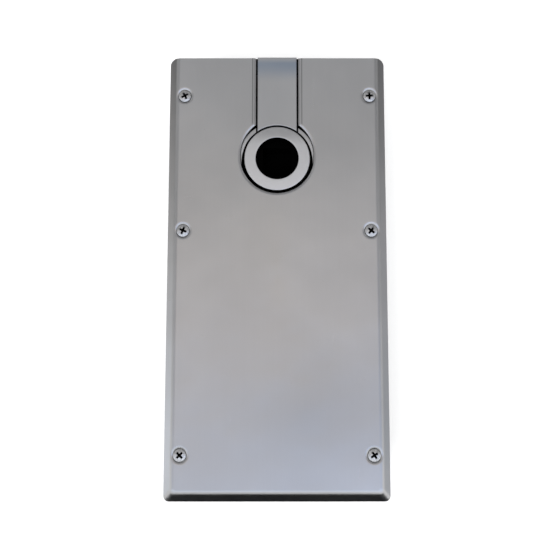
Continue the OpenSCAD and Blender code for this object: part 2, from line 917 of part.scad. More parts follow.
// The outside of the casting: the cam chamber's block, two barrels, their web and four ears.
module body_form() {
    slab(body_w, -block_front, body_back, body_z, body_top_z, body_corner_r);
    intersection() {
        both_bores() rod(barrel_d, -block_front + cut, -body_front);
        translate([-body_w, -body_front, body_z]) cube([2 * body_w, body_front, body_top_z - body_z]);
    }
    translate([-bore_x, -body_front, axis_z - web_h / 2])
        cube([2 * bore_x, body_front - block_front + cut, web_h]);
    for (x = [-bolt_x, bolt_x]) {
        translate([x - ear_w / 2, body_back - ear_root, body_z])
            cube([ear_w, back_room - run_gap + ear_root, ear_h]);
        translate([x - ear_w / 2, -body_front - front_room + run_gap, body_z])
            cube([ear_w, front_room - run_gap + ear_root, ear_h]);
    }
}

// The drilled oil ways, their plug seats and the valve holes.
module oil_ways() {
    rod(channel_d, -chamber_front + cut, -body_front - cut);
    rod(end_plug_d + 2 * thread_gap, -body_front + end_plug_l, -body_front - cut);
    for (y = valve_ys) {
        translate([cross_x0 - cut, y, axis_z])
            rotate([0, 90, 0]) {
                cylinder(h = bore_x - bore_d / 2 - cross_x0 + 2 * cut, d = cross_d);
                cylinder(h = side_plug_l + cut, d = side_plug_d + 2 * thread_gap);
            }
        translate([0, y, 0]) tube(valve_d, axis_z - needle_drop - cross_d / 2, web_top_z + cut);
    }
}

module closer_body() {
    color("darkgray")
        difference() {
            body_form();
            slab(chamber_w, -chamber_front, chamber_back, chamber_floor_z, body_top_z + cut,
                chamber_corner_r);
            both_bores() rod(bore_d, piston_y + beam_t / 2, -body_front - cut);
            tube(lower_od, lower_z, chamber_floor_z + cut);
            at_bolts() tube(bolt_hole_d, body_z - cut, body_z + ear_h + cut);
            at_lid_screws()
                tube(lid_screw_d + 2 * thread_gap, body_top_z - lid_screw_grip - cut, body_top_z + cut);
            oil_ways();
        }
}

module lid_gasket() {
    color("darkolivegreen")
        difference() {
            slab(body_w, -block_front, body_back, body_top_z, lid_z, body_corner_r);
            slab(chamber_w, -chamber_front, chamber_back, body_top_z - cut, lid_z + cut, chamber_corner_r);
            at_lid_screws() tube(lid_hole_d, body_top_z - cut, lid_z + cut);
        }
}

module body_lid() {
    color("darkgray")
        difference() {
            union() {
                slab(body_w, -block_front, body_back, lid_z, lid_top_z, body_corner_r);
                tube(boss_d, upper_z - boss_lip, boss_top_z);
            }
            tube(upper_od, upper_z, boss_top_z + cut);
            tube(upper_od - 2 * boss_lip_w, upper_z - boss_lip - cut, upper_z + cut);
            at_lid_screws() tube(lid_hole_d, lid_z - cut, lid_top_z + cut);
            translate([0, fill_y, 0]) tube(fill_d + 2 * thread_gap, lid_z - cut, lid_top_z + cut);
        }
}

module lid_screws() {
    head_z = lid_top_z + lid_screw_head_h;
    color("dimgray")
        at_lid_screws()
            difference() {
                union() {
                    tube(lid_screw_d, body_top_z - lid_screw_grip, lid_top_z + eps);
                    tube(lid_screw_head_d, lid_top_z, head_z);
                }
                hex(lid_key_af, head_z, lid_screw_head_h - 0.8);
            }
}

module filler_plug() {
    head_z = lid_top_z + fill_head_h;
    color("goldenrod")
        translate([0, fill_y, 0])
            difference() {
                union() {
                    tube(fill_d, lid_z, lid_top_z + eps);
                    tube(fill_head_d, lid_top_z, head_z);
                }
                hex(fill_key_af, head_z, fill_head_h);
            }
}

// ---- Fixings and box ----

module body_bolts() {
    z = body_z + ear_h + washer_t;
    color("lightgray")
        at_bolts() {
            tube(bolt_d, box_bottom_z + bolt_end_gap, z + eps);
            translate([0, 0, z]) cylinder(h = bolt_head_h, d = bolt_head_af / cos(30), $fn = 6);
        }
}

module body_washers() {
    color("gainsboro")
        at_bolts() tube(washer_d, body_z + ear_h, body_z + ear_h + washer_t, bolt_d + 0.4);
}

module mount_bushes() {
    color("gray")
        at_bolts()
            difference() {
                union() {
                    tube(bush_d, box_floor_z, body_z);
                    tube(bush_spigot_d - 2 * press_gap, box_bottom_z, box_floor_z + eps);
                }
                tube(bolt_d + 2 * thread_gap, box_bottom_z - cut, body_z + cut);
            }
}

module screw_lugs() {
    color("gray")
        difference() {
            for (side = [-1, 1], y = screw_ys)
                translate([side * (box_in_w - lug_depth) / 2, y, box_rim_z - lug_h / 2])
                    cube([lug_depth, lug_l, lug_h], center = true);
            at_screws() {
                tube(screw_d + 2 * thread_gap, box_rim_z - lug_h - cut, box_rim_z + cut);
                dimple_cup(run_gap);
            }
        }
}

module cement_box() {
    color("silver")
        difference() {
            slab(box_w, box_y0, box_y1, box_bottom_z, box_rim_z, box_corner_r);
            slab(box_in_w, box_y0 + box_t, box_y1 - box_t, box_floor_z, box_rim_z + cut,
                box_corner_r - box_t);
            for (x = [-anchor_x, anchor_x], y = anchor_ys)
                translate([x, y, 0]) tube(anchor_d, box_bottom_z - cut, box_floor_z + cut);
            at_bolts() tube(bush_spigot_d, box_bottom_z - cut, box_floor_z + cut);
            at_screws() dimple_cup(run_gap);
        }
}

cover_plate();
cover_screws();
slot_filler();
filler_bracket();
hub_ring();
spindle();
cam_key();
heart_cam();
cam_spacer();
hub_seal();
upper_bearing_outer();
upper_bearing_balls();
upper_bearing_inner();
lower_bearing_outer();
lower_bearing_balls();
lower_bearing_inner();
cam_roller();
roller_pin();
pin_clips();
crosshead();
crosshead_screws();
piston_left();
piston_right();
piston_rings();
check_balls();
ball_retainers();
spring_left();
spring_right();
cylinder_plugs();
plug_seals();
closing_valve();
latching_valve();
valve_seals();
channel_plugs();
closer_body();
lid_gasket();
body_lid();
lid_screws();
filler_plug();
body_bolts();
body_washers();
mount_bushes();
screw_lugs();
cement_box();
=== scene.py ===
import json
from functools import cached_property
from math import acos, atan2, cos, degrees, hypot, pi, radians, sin

import bmesh
import bpy
from mathutils import Matrix, Vector


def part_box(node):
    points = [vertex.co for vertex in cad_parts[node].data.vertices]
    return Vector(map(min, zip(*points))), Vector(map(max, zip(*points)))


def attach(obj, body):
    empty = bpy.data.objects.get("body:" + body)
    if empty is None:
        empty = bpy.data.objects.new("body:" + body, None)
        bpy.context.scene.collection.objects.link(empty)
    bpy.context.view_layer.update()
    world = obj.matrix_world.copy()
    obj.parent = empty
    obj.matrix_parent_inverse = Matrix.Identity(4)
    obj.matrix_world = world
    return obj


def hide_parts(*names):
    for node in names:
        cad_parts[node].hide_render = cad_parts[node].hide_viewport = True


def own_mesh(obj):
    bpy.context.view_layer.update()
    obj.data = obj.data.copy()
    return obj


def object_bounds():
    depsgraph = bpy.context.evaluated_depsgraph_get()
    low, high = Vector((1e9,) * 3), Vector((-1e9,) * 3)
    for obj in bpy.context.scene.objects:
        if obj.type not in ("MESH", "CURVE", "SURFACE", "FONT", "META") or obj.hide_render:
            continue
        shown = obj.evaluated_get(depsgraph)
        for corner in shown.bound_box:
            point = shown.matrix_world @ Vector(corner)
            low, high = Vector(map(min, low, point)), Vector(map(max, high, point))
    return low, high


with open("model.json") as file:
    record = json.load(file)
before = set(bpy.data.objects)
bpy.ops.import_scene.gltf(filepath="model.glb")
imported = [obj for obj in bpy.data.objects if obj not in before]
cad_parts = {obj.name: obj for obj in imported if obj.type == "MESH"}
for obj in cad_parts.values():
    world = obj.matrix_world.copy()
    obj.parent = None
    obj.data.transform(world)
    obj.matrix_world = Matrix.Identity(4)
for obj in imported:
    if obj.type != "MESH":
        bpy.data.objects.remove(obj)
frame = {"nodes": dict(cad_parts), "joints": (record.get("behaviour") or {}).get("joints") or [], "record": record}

bl_info = {
    "name": "Floor spring door closer",
    "version": (1, 0, 0),
    "blender": (4, 5, 0),
    "location": "View3D > Sidebar > Door closer",
    "description": "Dresses the door closer's pieces and sets them on a pale floor",
    "category": "Object",
}

MM = 0.001
CAD_BOX = [list(corner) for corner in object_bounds()]

# How far a shape is built past an edge that is cut to size later, in millimetres.
OVERSHOOT = 4
# Points nearer than this are one point, and edges nearer to a line lie on it, in millimetres.
WELD = 1e-4
NEAR = 0.01
# An edge that bends by more than this is a crease, or looks sharp, in radians.
CREASED = 0.15
SHARP = radians(34)

# Where painted shade and painted reflections lie, in metres.
COVER_GAP_SHADE = {"gap_z": 0.0040, "gap_x": 0.0275, "gap_y": -0.0275, "fold_x": 0.0166}
# Where the strip's painted bluish reflection starts.
STRIP_REFLECTION_Y = 0.0542
# How far below its top the strip's sides are painted black, as painted shade.
STRIP_SIDE = 0.0007
# Where the cast body is painted black under the keyhole and slot, as painted shade.
BODY_KEYHOLE_SHADE = {"reach": 0.0295, "slot_x": 0.0185, "foot_z": -0.0062}


# ---- Sizes and colours that a user would change ----

def setting(kind, **details):
    """A maker of one kind of setting, of zero and more."""
    def make(name, description, default):
        return kind(name=name, description=description, default=default, min=0, **details)
    return make


# A length in metres, a number up to 1 and a colour.
length = setting(bpy.props.FloatProperty, precision=5, unit="LENGTH", subtype="DISTANCE")
share = setting(bpy.props.FloatProperty, max=1, subtype="FACTOR")
tint = setting(bpy.props.FloatVectorProperty, max=1, size=3, subtype="COLOR")


class CoverSettings(bpy.types.PropertyGroup):
    sheet: length("Sheet", "Thickness of the cover sheet", 0.0015)
    bevel_run: length("Bevel run", "Horizontal run of the bevelled rims", 0.0054)
    crease: length("Crease", "Half width of the rounded creases", 0.0021)
    mitre: length("Mitre", "Half width of the rounding at the front corners", 0.0030)
    back_corner: length("Back corner", "Radius of the two back corners in plan", 0.004)
    cutout_gap: length("Cut-out gap", "Gap between the hub ring's flange and the cut-out", 0.0003)
    slot_gap: length("Slot gap", "Gap on each side of the filler strip", 0.0012)
    slot_roll: length("Slot roll", "How far the rolled lip stands into that gap", 0.00035)
    cutout_low: length("Cut-out centre", "How far behind the axis the round end's centre is", 0.0008)
    cutout_stretch: length("Cut-out stretch", "Length by which the round end is stretched", 0.0025)
    lip_drop: length("Lip", "How far the rolled lip hangs below the sheet", 0.0013)
    lip_end: length("Lip end", "Where the lip stops, from the spindle axis", 0.0612)
    roll: length("Roll", "Width over which the sheet leans down to the keyhole", 0.0015)
    roll_drop: length("Roll drop", "How far the sheet leans down before the lip", 0.0007)
    roll_edge: length("Roll edge", "Half width of the rounding on both sides of the lean", 0.0006)
    dimple_reach: length("Dimple reach", "Radius at which a dimple meets the flat sheet", 0.0064)
    dimple_seat: length("Dimple seat", "Radius at which a dimple turns into the seat", 0.00425)
    dimple_drop: length("Dimple drop", "Depth of a dimple before its seat", 0.00085)


class StripSettings(bpy.types.PropertyGroup):
    edge: length("Edge", "Radius of the strip's long edges", 0.0006)
    ring_gap: length("Ring gap", "Gap between the strip's hollow end and the hub ring", 0.0009)
    tab: length("Tab", "Thickness of the tab that closes the slot behind the box", 0.0008)
    tab_reach: length("Tab reach", "How far the tab reaches under the cover on each side", 0.0025)
    run_gap: length("Wall gap", "Gap between the tab and the box wall", 0.0003)


class RingSettings(bpy.types.PropertyGroup):
    bore: length("Bore", "Radius of the round mouth", 0.0146)
    socket: length("Socket", "Depth of the drive socket below the cover's top", 0.023)
    face: length("Face", "Radius of the ring's raised face", 0.02265)
    flange: length("Flange", "Radius of the flange, which reaches under the cover", 0.0269)
    step: length("Step", "Depth of the flange below the face", 0.003)
    edge: length("Edge", "Radius of the face's outer edge", 0.0006)
    dome: length("Dome", "How far the face falls from the mouth to its edge", 0.00028)
    groove: length("Groove", "Width of the groove between the face and the flange", 0.0016)
    groove_depth: length("Groove depth", "Depth of the groove below the flange", 0.001)
    hub: length("Hub", "Radius of the spindle hub under the ring", 0.02003)
    hub_rise: length("Hub rise", "Height of the hub inside the ring", 0.002)


class ScrewSettings(bpy.types.PropertyGroup):
    shank: length("Shank", "Radius of the screw thread", 0.002)
    dome: length("Dome", "Height of the raised head", 0.0009)
    recess: length("Recess", "Span of the cross recess", 0.0070)
    arm: length("Arm", "Width of the recess arms at the top", 0.0016)
    depth: length("Depth", "Depth of the cross recess", 0.0021)


class BoxSettings(bpy.types.PropertyGroup):
    bend: length("Bend", "Radius of the bend round the box floor", 0.003)


class SteelSettings(bpy.types.PropertyGroup):
    cover: tint("Cover", "Colour of the cover sheet", (0.545, 0.545, 0.55))
    strip: tint("Strip", "Colour of the filler strip", (0.555, 0.56, 0.57))
    ring: tint("Ring", "Colour of the hub ring's face", (0.765, 0.765, 0.765))
    cover_roughness: share("Cover roughness", "Roughness of the satin cover", 0.30)


class StudioSettings(bpy.types.PropertyGroup):
    floor: tint("Floor", "Colour of the floor", (0.86, 0.86, 0.86))
    sky: share("Sky", "Strength of the light that comes from all round", 0.55)
    ceiling: share("Ceiling", "Strength of the ceiling that the metal mirrors", 0.92)


SETTINGS = {
    "cover": CoverSettings,
    "strip": StripSettings,
    "ring": RingSettings,
    "screws": ScrewSettings,
    "box": BoxSettings,
    "steel": SteelSettings,
    "studio": StudioSettings,
}


# ---- Materials ----

def node_sum(operation, reflected=False):
    """A method of Wire that adds a Math node."""
    def method(self, *others):
        values = (*others, self) if reflected else (self, *others)
        return self.paint.add("ShaderNodeMath", {"operation": operation}, dict(enumerate(values)))
    return method


class Wire:
    """An output of a node. Sums on it add Math nodes."""

    def __init__(self, paint, socket):
        self.paint = paint
        self.socket = socket

    __add__, __radd__ = node_sum("ADD"), node_sum("ADD", True)
    __sub__, __rsub__ = node_sum("SUBTRACT"), node_sum("SUBTRACT", True)
    __mul__, __rmul__ = node_sum("MULTIPLY"), node_sum("MULTIPLY", True)
    __pow__ = node_sum("POWER")
    __abs__ = node_sum("ABSOLUTE")
    sine = node_sum("SINE")
    either = node_sum("MAXIMUM")
    at_most = node_sum("MINIMUM")

    def above(self, start, end):
        """0 below start and 1 above end, or the other way round where start is over end."""
        return self.paint.add("ShaderNodeMapRange", {"interpolation_type": "SMOOTHSTEP"},
                              {"Value": self, "From Min": start, "From Max": end})


class Paint:
    """A material, or a world, and the nodes that make it."""

    def __init__(self, name, world=False):
        self.made = (bpy.data.worlds if world else bpy.data.materials).new(name)
        self.made.use_nodes = True
        self.tree = self.made.node_tree
        self.tree.nodes.clear()
        self.output = self.tree.nodes.new("ShaderNodeOutputWorld" if world
                                          else "ShaderNodeOutputMaterial")

    @cached_property
    def place(self):
        return self.add("ShaderNodeTexCoord", output="Object")

    def plug(self, socket, value):
        if isinstance(value, Wire):
            self.tree.links.new(value.socket, socket)
        elif socket.type == "RGBA" and len(value) == 3:
            socket.default_value = (*value, 1)
        else:
            socket.default_value = value

    def add(self, kind, settings=None, inputs=None, output=0):
        """A node of any kind: its settings first, then the values or wires of its sockets."""
        node = self.tree.nodes.new(kind)
        for key, value in (settings or {}).items():
            setattr(node, key, value)
        for key, value in (inputs or {}).items():
            self.plug(node.inputs[key], value)
        return Wire(self, node.outputs[output])

    def noise(self, marks, detail=3, rough=0.55, turn=0):
        """Noise with so many marks per metre: one number, or one for each axis, turned about Z."""
        place, scale = self.place, marks
        if isinstance(marks, tuple):
            scale = 1.0
            place = self.add("ShaderNodeMapping", None,
                             {"Vector": place, "Scale": marks, "Rotation": (0, 0, turn)})
        return self.add("ShaderNodeTexNoise", None, {
            "Vector": place, "Scale": scale, "Detail": detail, "Roughness": rough})

    def cells(self, marks, output="Distance"):
        return self.add("ShaderNodeTexVoronoi", None, {"Vector": self.place, "Scale": marks}, output)

    def axes(self, wire=None):
        """The x, y and z of a vector."""
        split = self.tree.nodes.new("ShaderNodeSeparateXYZ")
        self.plug(split.inputs[0], wire or self.place)
        return [Wire(self, socket) for socket in split.outputs]

    def surface(self, output):
        """A fact of the surface, such as its Normal, or its Position in the world."""
        return self.add("ShaderNodeNewGeometry", output=output)

    def blend(self, factor, first, second):
        """A colour between two colours."""
        return self.add("ShaderNodeMix", {"data_type": "RGBA"}, {0: factor, 6: first, 7: second}, 2)

    def shades(self, factor, colour, first, second):
        """A colour between two shades of it."""
        return self.blend(factor, shade(colour, first), shade(colour, second))

    def bumps(self, height, depth, under=None):
        """A normal from heights of 0 to 1, depth metres deep."""
        inputs = {"Height": height, "Distance": depth, "Strength": 1.0}
        if under:
            inputs["Normal"] = under
        return self.add("ShaderNodeBump", None, inputs)

    def end(self, shader):
        self.tree.links.new(shader.socket, self.output.inputs[0])
        return self.made

    def finish(self, colour, rough, normal=None, metal=1.0, hollow=None, **more):
        """Ends the material in one principled shader. Where hollow is 1 the surface is painted pitch black, as
        painted shade.
        """
        inputs = {"Base Color": colour, "Roughness": rough, "Metallic": metal}
        if normal:
            inputs["Normal"] = normal
        inputs |= {key.replace("_", " "): value for key, value in more.items()}
        shader = self.add("ShaderNodeBsdfPrincipled", None, inputs)
        if hollow:
            # A near-black diffuse that stands in for shade: painted shade.
            pitch = self.add("ShaderNodeBsdfDiffuse", None, {"Color": (0.0012, 0.0012, 0.0012)})
            shader = self.add("ShaderNodeMixShader", None, {0: hollow, 1: shader, 2: pitch})
        return self.end(shader)


def shade(colour, factor):
    return tuple(min(1.0, part * factor) for part in colour)


def from_axis(x, y):
    return (x * x + y * y) ** 0.5


def satin_sheet(p, colour, roughness, gap_z, gap_x=1.0, gap_y=-1.0, film_y=1.0, fold_x=1.0):
    """Stainless sheet, ground along its length, with soft clouds, wipes and a few fine scratches.

    It is painted black below gap_z, within gap_x of the middle and behind gap_y: painted shade
    in the gap. Behind a given y it carries a darker bluish tint, a painted reflection, and a faint
    line of painted shade runs along the slot at fold_x. A wide soft patch in front is painted
    darker and bluer, another painted reflection.
    """
    reflection_rise, reflection_fade, reflection_end = 0.014, 0.0142, 0.0185
    fold_wide, fold_soft, fold_y = 0.0011, 0.0003, 0.022
    # Centre and reach of the painted darker reflection in front.
    dim_patch_x, dim_patch_y, dim_patch_reach = 0.022, -0.177, 0.06
    x, y, z = p.axes()
    grain = p.noise((5200, 90, 5200), 4, 0.6)
    bands = p.noise((420, 9, 420), 2, 0.5)
    wipes = p.noise(16, 5, 0.6)
    cloud = p.noise(11)
    scratch = p.noise((900, 26, 900), 1, 0.5, 0.5)
    cross = p.noise((40, 1100, 40), 1, 0.5, 0.3)
    marks = scratch.above(0.76, 0.82) + cross.above(0.77, 0.83)
    level = 0.3 * grain + 0.15 * bands + 0.55 * cloud.above(0.3, 0.7)
    worn = p.blend(marks * 0.3, p.shades(level, colour, 0.92, 1.08), shade(colour, 1.2))

    # Painted reflection: a wide soft patch in front is darker and bluer.
    aside, along = x - dim_patch_x, y - dim_patch_y
    dim_patch_distance = (aside * aside * 0.5 + along * along) ** 0.5
    dull = dim_patch_distance.above(dim_patch_reach, 0.0) * (0.2 + 1.3 * cloud)
    bloom_and_painted_dimming = p.blend(dull * 0.5, worn, (0.375, 0.387, 0.405))
    # Painted reflection: a darker bluish tint towards the back end, behind the given y.
    film = (y.above(film_y, film_y + reflection_rise)
            * y.above(film_y + reflection_end, film_y + reflection_fade))
    with_painted_reflection = p.blend(film * (0.35 + cloud), bloom_and_painted_dimming, (0.36, 0.42, 0.51))
    # A faint line of painted shade along the slot, where the sheet starts to roll down.
    across = abs(x)
    fold = (across.above(fold_x, fold_x + fold_soft)
            * across.above(fold_x + fold_wide, fold_x + fold_wide - fold_soft)
            * y.above(fold_y, fold_y + 0.004))
    folded = p.blend(fold * 0.65, with_painted_reflection, shade(colour, 0.35))
    rough = roughness - 0.06 + 0.06 * grain + 0.07 * wipes - 0.05 * marks
    roll = p.bumps(cloud, 0.0011)
    fine = p.bumps(grain + 0.4 * bands - 0.5 * marks, 0.0000045, roll)
    # Painted shade: black in the gap below gap_z, on the keyhole's roll and lip and on the strip's sides.
    painted_gap_shade = (z.above(gap_z, gap_z - 0.0004) * across.above(gap_x + 0.001, gap_x)
            * y.above(gap_y, gap_y + 0.001))
    return p.finish(folded, rough, fine, hollow=painted_gap_shade, Anisotropic=0.25)


def turned_ring(p, colour, ring, top, strip_x):
    """A fine turned face, painted darker on the side towards the strip: a painted darker reflection.

    The groove round it and the mouth are painted black, as painted shade. So is the flange in the shade of
    the cover's front edge and beside the strip, however it turns.
    """
    shade_back, shade_front, shade_wide = 0.007, -0.016, 0.0018
    x, y, z = p.axes()
    radius = from_axis(x, y)
    rings = (radius * 26000).sine()
    grit = p.noise(3800, 3, 0.7)
    smear = p.noise(70, 4, 0.6)
    # Painted shade: the mouth is black.
    mouth = radius.above(ring["bore"] + 0.00045, ring["bore"] + 0.0002)
    # Painted shade: the groove, and the flange where the cover's front edge and the strip shade it, go black.
    room_x, room_y = p.axes(p.surface("Position"))[:2]
    lip = ring["face"] + ring["groove"] + room_y.above(shade_back, shade_front) * shade_wide
    across = abs(room_x)
    beside = (across.above(strip_x - 0.0004, strip_x - 0.0001)
              * across.above(strip_x + 0.0011, strip_x + 0.0009) * room_y.above(0, 0.001))
    shaded = radius.above(lip + 0.00015, lip - 0.0001)
    groove = shaded.either(beside) * z.above(top - 0.0008, top - 0.0012)
    metal = p.shades(0.6 * grit + 0.4 * smear, colour, 0.93, 1.06)
    # Painted reflection: the side towards the strip is darker.
    dull = p.blend(y.above(0.008, 0.019) * (0.3 + 0.5 * smear), metal, shade(colour, 0.5))
    return p.finish(dull, 0.36 + 0.08 * grit + 0.05 * smear,
                    p.bumps(rings * 0.5 + grit, 0.000006), hollow=mouth.either(groove))


def screw_steel(p, colour, rim_z):
    """Bright stainless, scuffed on the dome, with painted shade: black in the recess and a patchy near-black band
    round the rim.
    """
    z = p.axes()[2]
    rim_shade_patches = p.noise(900, 4, 0.65)
    scuff = p.noise(1500, 3, 0.7)
    rub = p.noise((2600, 500, 2600), 3, 0.6, 0.7)
    # Painted shade: a patchy near-black band round the rim, and the recess black below it.
    edge = z.above(rim_z + 0.00015, rim_z - 0.0001) * (0.1 + 0.7 * rim_shade_patches)
    deep = z.above(rim_z + 0.0001, rim_z - 0.0006)
    metal = p.shades((0.5 * rub + 0.5 * scuff).above(0.35, 0.65), colour, 0.62, 1.25)
    return p.finish(p.blend(edge, metal, (0.05, 0.047, 0.045)), 0.24 + 0.16 * rub + 0.1 * scuff,
                    p.bumps(0.5 * rub + scuff, 0.00010), hollow=deep)


def galvanised(p, colour, slot_x=0.0):
    """Hot dip zinc: flat spangles, a dull bloom and cement dust low down. Painted black under the slot, as painted
    shade.
    """
    spangles = 140
    x, _, z = p.axes()
    red, green = p.axes(p.cells(spangles, "Color"))[:2]
    edges = p.cells(spangles)
    bloom = p.noise(24, 5, 0.62)
    fine = p.noise(1600, 3, 0.6)
    dust = (z.above(-0.02, -0.057) * p.noise(60, 5, 0.7)).above(0.25, 0.75)
    flake = p.shades(red, colour, 0.86, 1.08)
    bloom_and_painted_dimming = p.blend(bloom.above(0.42, 0.72) * 0.5, flake, shade(colour, 0.92))
    dusty = p.blend(dust * 0.6, bloom_and_painted_dimming, (0.46, 0.44, 0.41))
    # Painted shade: the top under the slot is black.
    painted_gap_shade = z.above(0.001, 0.002) * abs(x).above(slot_x + 0.001, slot_x)
    return p.finish(dusty, 0.36 + 0.10 * green + 0.14 * bloom + 0.2 * dust,
                    p.bumps(22 * edges + 0.4 * fine, 0.000012), 1 - 0.55 * dust, painted_gap_shade)


def bright_zinc(p, colour):
    """Zinc plate with a faint blue and yellow bloom."""
    bloom = p.noise(220, 3, 0.6)
    fine = p.noise(4200, 2, 0.6)
    film = p.blend(bloom.above(0.35, 0.68), shade(colour, 0.94), (0.70, 0.68, 0.58))
    return p.finish(film, 0.26 + 0.14 * fine + 0.06 * bloom, p.bumps(fine, 0.000008))


def black_oxide(p, colour):
    """Blackened steel with an oily sheen, paler where it is rubbed."""
    rub = p.noise(600, 4, 0.7)
    oil = p.noise(90)
    metal = p.shades(rub.above(0.55, 0.8) * 0.5, colour, 1, 3.2)
    return p.finish(metal, 0.34 + 0.2 * rub - 0.1 * oil, p.bumps(rub, 0.000014), 0.75,
                    Coat_Weight=0.25 * oil, Coat_Roughness=0.2)


def turned_brass(p, colour):
    """Turned brass, browned in patches."""
    lines = (p.axes()[2] * 42000).sine()
    brown = p.noise(260, 4, 0.62)
    metal = p.blend(brown.above(0.45, 0.78), colour, (0.42, 0.27, 0.11))
    return p.finish(metal, 0.24 + 0.18 * brown, p.bumps(lines * 0.5 + brown, 0.00001))


def phosphated(p, colour, socket, floor_z):
    """Dark phosphate with oil in it. The drive socket is painted black inside, down to its floor, as painted
    shade.
    """
    x, y, z = p.axes()
    grain = p.noise(2600, 4, 0.7)
    patches = p.noise(110, 4, 0.6)
    coat = p.shades(0.5 * grain + 0.5 * patches, colour, 0.6, 1.35)
    # Painted shade: black inside the socket.
    inside = (from_axis(x, y).above(socket + 0.0002, socket)
              * z.above(floor_z - 0.0015, floor_z - 0.0005))
    return p.finish(coat, 0.42 + 0.2 * grain, p.bumps(grain, 0.00002), 0.35, inside)


def ground_steel(p, colour):
    """Hardened and ground, with fine lines round the work and blued oil stains."""
    lines = p.noise((300, 300, 9000), 3, 0.6)
    stain = p.noise(130, 4, 0.6)
    metal = p.blend(stain.above(0.5, 0.8) * 0.6, shade(colour, 1.03), (0.34, 0.33, 0.34))
    return p.finish(metal, 0.2 + 0.14 * lines + 0.1 * stain, p.bumps(lines, 0.000006))


def milled_steel(p, colour):
    """Milled and turned steel with coarser tool lines and a film of oil."""
    tool = p.noise((180, 5200, 180), 3, 0.6)
    stain = p.noise(80, 4, 0.6)
    oil = p.noise(34, 3, 0.5)
    metal = p.shades(0.6 * tool + 0.4 * stain, colour, 0.84, 1.12)
    return p.finish(metal, 0.27 + 0.16 * tool + 0.06 * stain, p.bumps(tool, 0.00001),
                    Coat_Weight=0.4 * oil, Coat_Roughness=0.15)


def bearing_steel(p, colour):
    """Polished race steel with hairline running marks."""
    hair = p.noise((160, 160, 16000), 2, 0.5)
    haze = p.noise(400, 3, 0.6)
    metal = p.shades(haze, colour, 0.94, 1.04)
    return p.finish(metal, 0.09 + 0.06 * hair + 0.06 * haze, p.bumps(hair, 0.000002))


def tempered_wire(p, colour):
    """Oil tempered wire: blue black scale with die lines along it."""
    scale = p.noise(420, 5, 0.66)
    fine = p.noise(3200, 3, 0.6)
    skin = p.blend(scale.above(0.42, 0.7), colour, (0.16, 0.13, 0.115))
    return p.finish(skin, 0.32 + 0.22 * scale + 0.08 * fine, p.bumps(scale + 0.5 * fine, 0.000022),
                    0.7)


def seal_rubber(p, colour):
    """Oil resistant rubber with a dull bloom."""
    bloom = p.noise(240, 4, 0.6)
    pores = p.noise(5200, 2, 0.6)
    skin = p.blend(bloom.above(0.45, 0.8), colour, (0.07, 0.07, 0.068))
    return p.finish(skin, 0.52 + 0.16 * bloom, p.bumps(pores, 0.000012), 0)


def filled_polymer(p, colour):
    """Bronze filled polymer with bright specks."""
    specks = p.noise(3600, 2, 0.5).above(0.64, 0.72)
    drift = p.noise(260, 3, 0.6)
    base = p.shades(drift, colour, 0.85, 1.2)
    return p.finish(p.blend(specks * 0.7, base, (0.50, 0.34, 0.18)), 0.38 + 0.14 * drift,
                    p.bumps(specks, 0.000006), 0.5 * specks)


def pressed_fibre(p, colour):
    """Pressed fibre sheet with short strands."""
    strands = p.noise((2600, 500, 2600), 4, 0.7, 0.6)
    crossed = p.noise((500, 2600, 2600), 4, 0.7, 0.2)
    weave = 0.5 * strands + 0.5 * crossed
    return p.finish(p.shades(weave, colour, 0.7, 1.35), 0.78, p.bumps(weave, 0.00003), 0)


def cast_iron(p, colour, reach, slot_x, foot_z):
    """Cast iron: sand skin on the sides, milled faces where a surface looks straight up or down.

    Above foot_z it is painted black under the keyhole, as painted shade: within reach of the spindle's axis,
    and within slot_x of the middle behind it.
    """
    soft = 0.001
    x, y, z = p.axes()
    skin = p.noise(900, 6, 0.72)
    lumps = p.noise(70, 3, 0.6)
    milled = p.noise((60, 4200, 60), 3, 0.6)
    flat = abs(p.axes(p.surface("Normal"))[2]).above(0.985, 0.998)
    rust = (skin * lumps).above(0.30, 0.46) * (1 - flat)
    faced = p.blend(flat, p.shades(skin, colour, 0.62, 1.25), p.shades(milled, colour, 1.5, 2.1))
    height = (1 - flat) * (0.5 * skin + 1.5 * lumps) + flat * milled * 0.08
    edge = 0.002 * lumps
    hole = from_axis(x, y) + edge
    slot = abs(x) + edge
    # Painted shade: black under the keyhole and the slot.
    open_above = (hole.above(reach + soft, reach - soft)
                  + slot.above(slot_x + soft, slot_x - soft) * y.above(0, 0.002))
    painted_keyhole_shade = open_above.at_most(1.0) * z.above(foot_z - 0.0005, foot_z)
    return p.finish(p.blend(rust * 0.35, faced, (0.20, 0.10, 0.06)),
                    0.58 - 0.24 * flat + 0.12 * skin, p.bumps(height, 0.00012),
                    0.55 + 0.4 * flat, painted_keyhole_shade)


# The finish of each material slot, and its name.
FINISHES = {
    "cover_sheet": (satin_sheet, "sheet_steel"),
    "ring_face": (ground_steel, "ring_steel"),
    "cover_fasteners": (bright_zinc, "fastener_steel"),
    "zinc_fasteners": (bright_zinc, "zinc_plate"),
    "black_fasteners": (black_oxide, "black_oxide_steel"),
    "brass_fittings": (turned_brass, "turned_brass"),
    "dark_steel": (phosphated, "phosphated_steel"),
    "ground_steel": (ground_steel, "ground_steel"),
    "machined_steel": (milled_steel, "milled_steel"),
    "bearing_steel": (bearing_steel, "bearing_steel"),
    "spring_steel": (tempered_wire, "tempered_wire"),
    "seal_rubber": (seal_rubber, "seal_rubber"),
    "ring_polymer": (filled_polymer, "filled_polymer"),
    "gasket_fibre": (pressed_fibre, "gasket_fibre"),
    "cast_body": (cast_iron, "cast_iron"),
    "galvanised_box": (galvanised, "galvanised_parts"),
}


# ---- Shapes ----

def mm_box(node):
    """Lowest and highest corner of a node, in millimetres."""
    low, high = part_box(node)
    return Vector(low) / MM, Vector(high) / MM


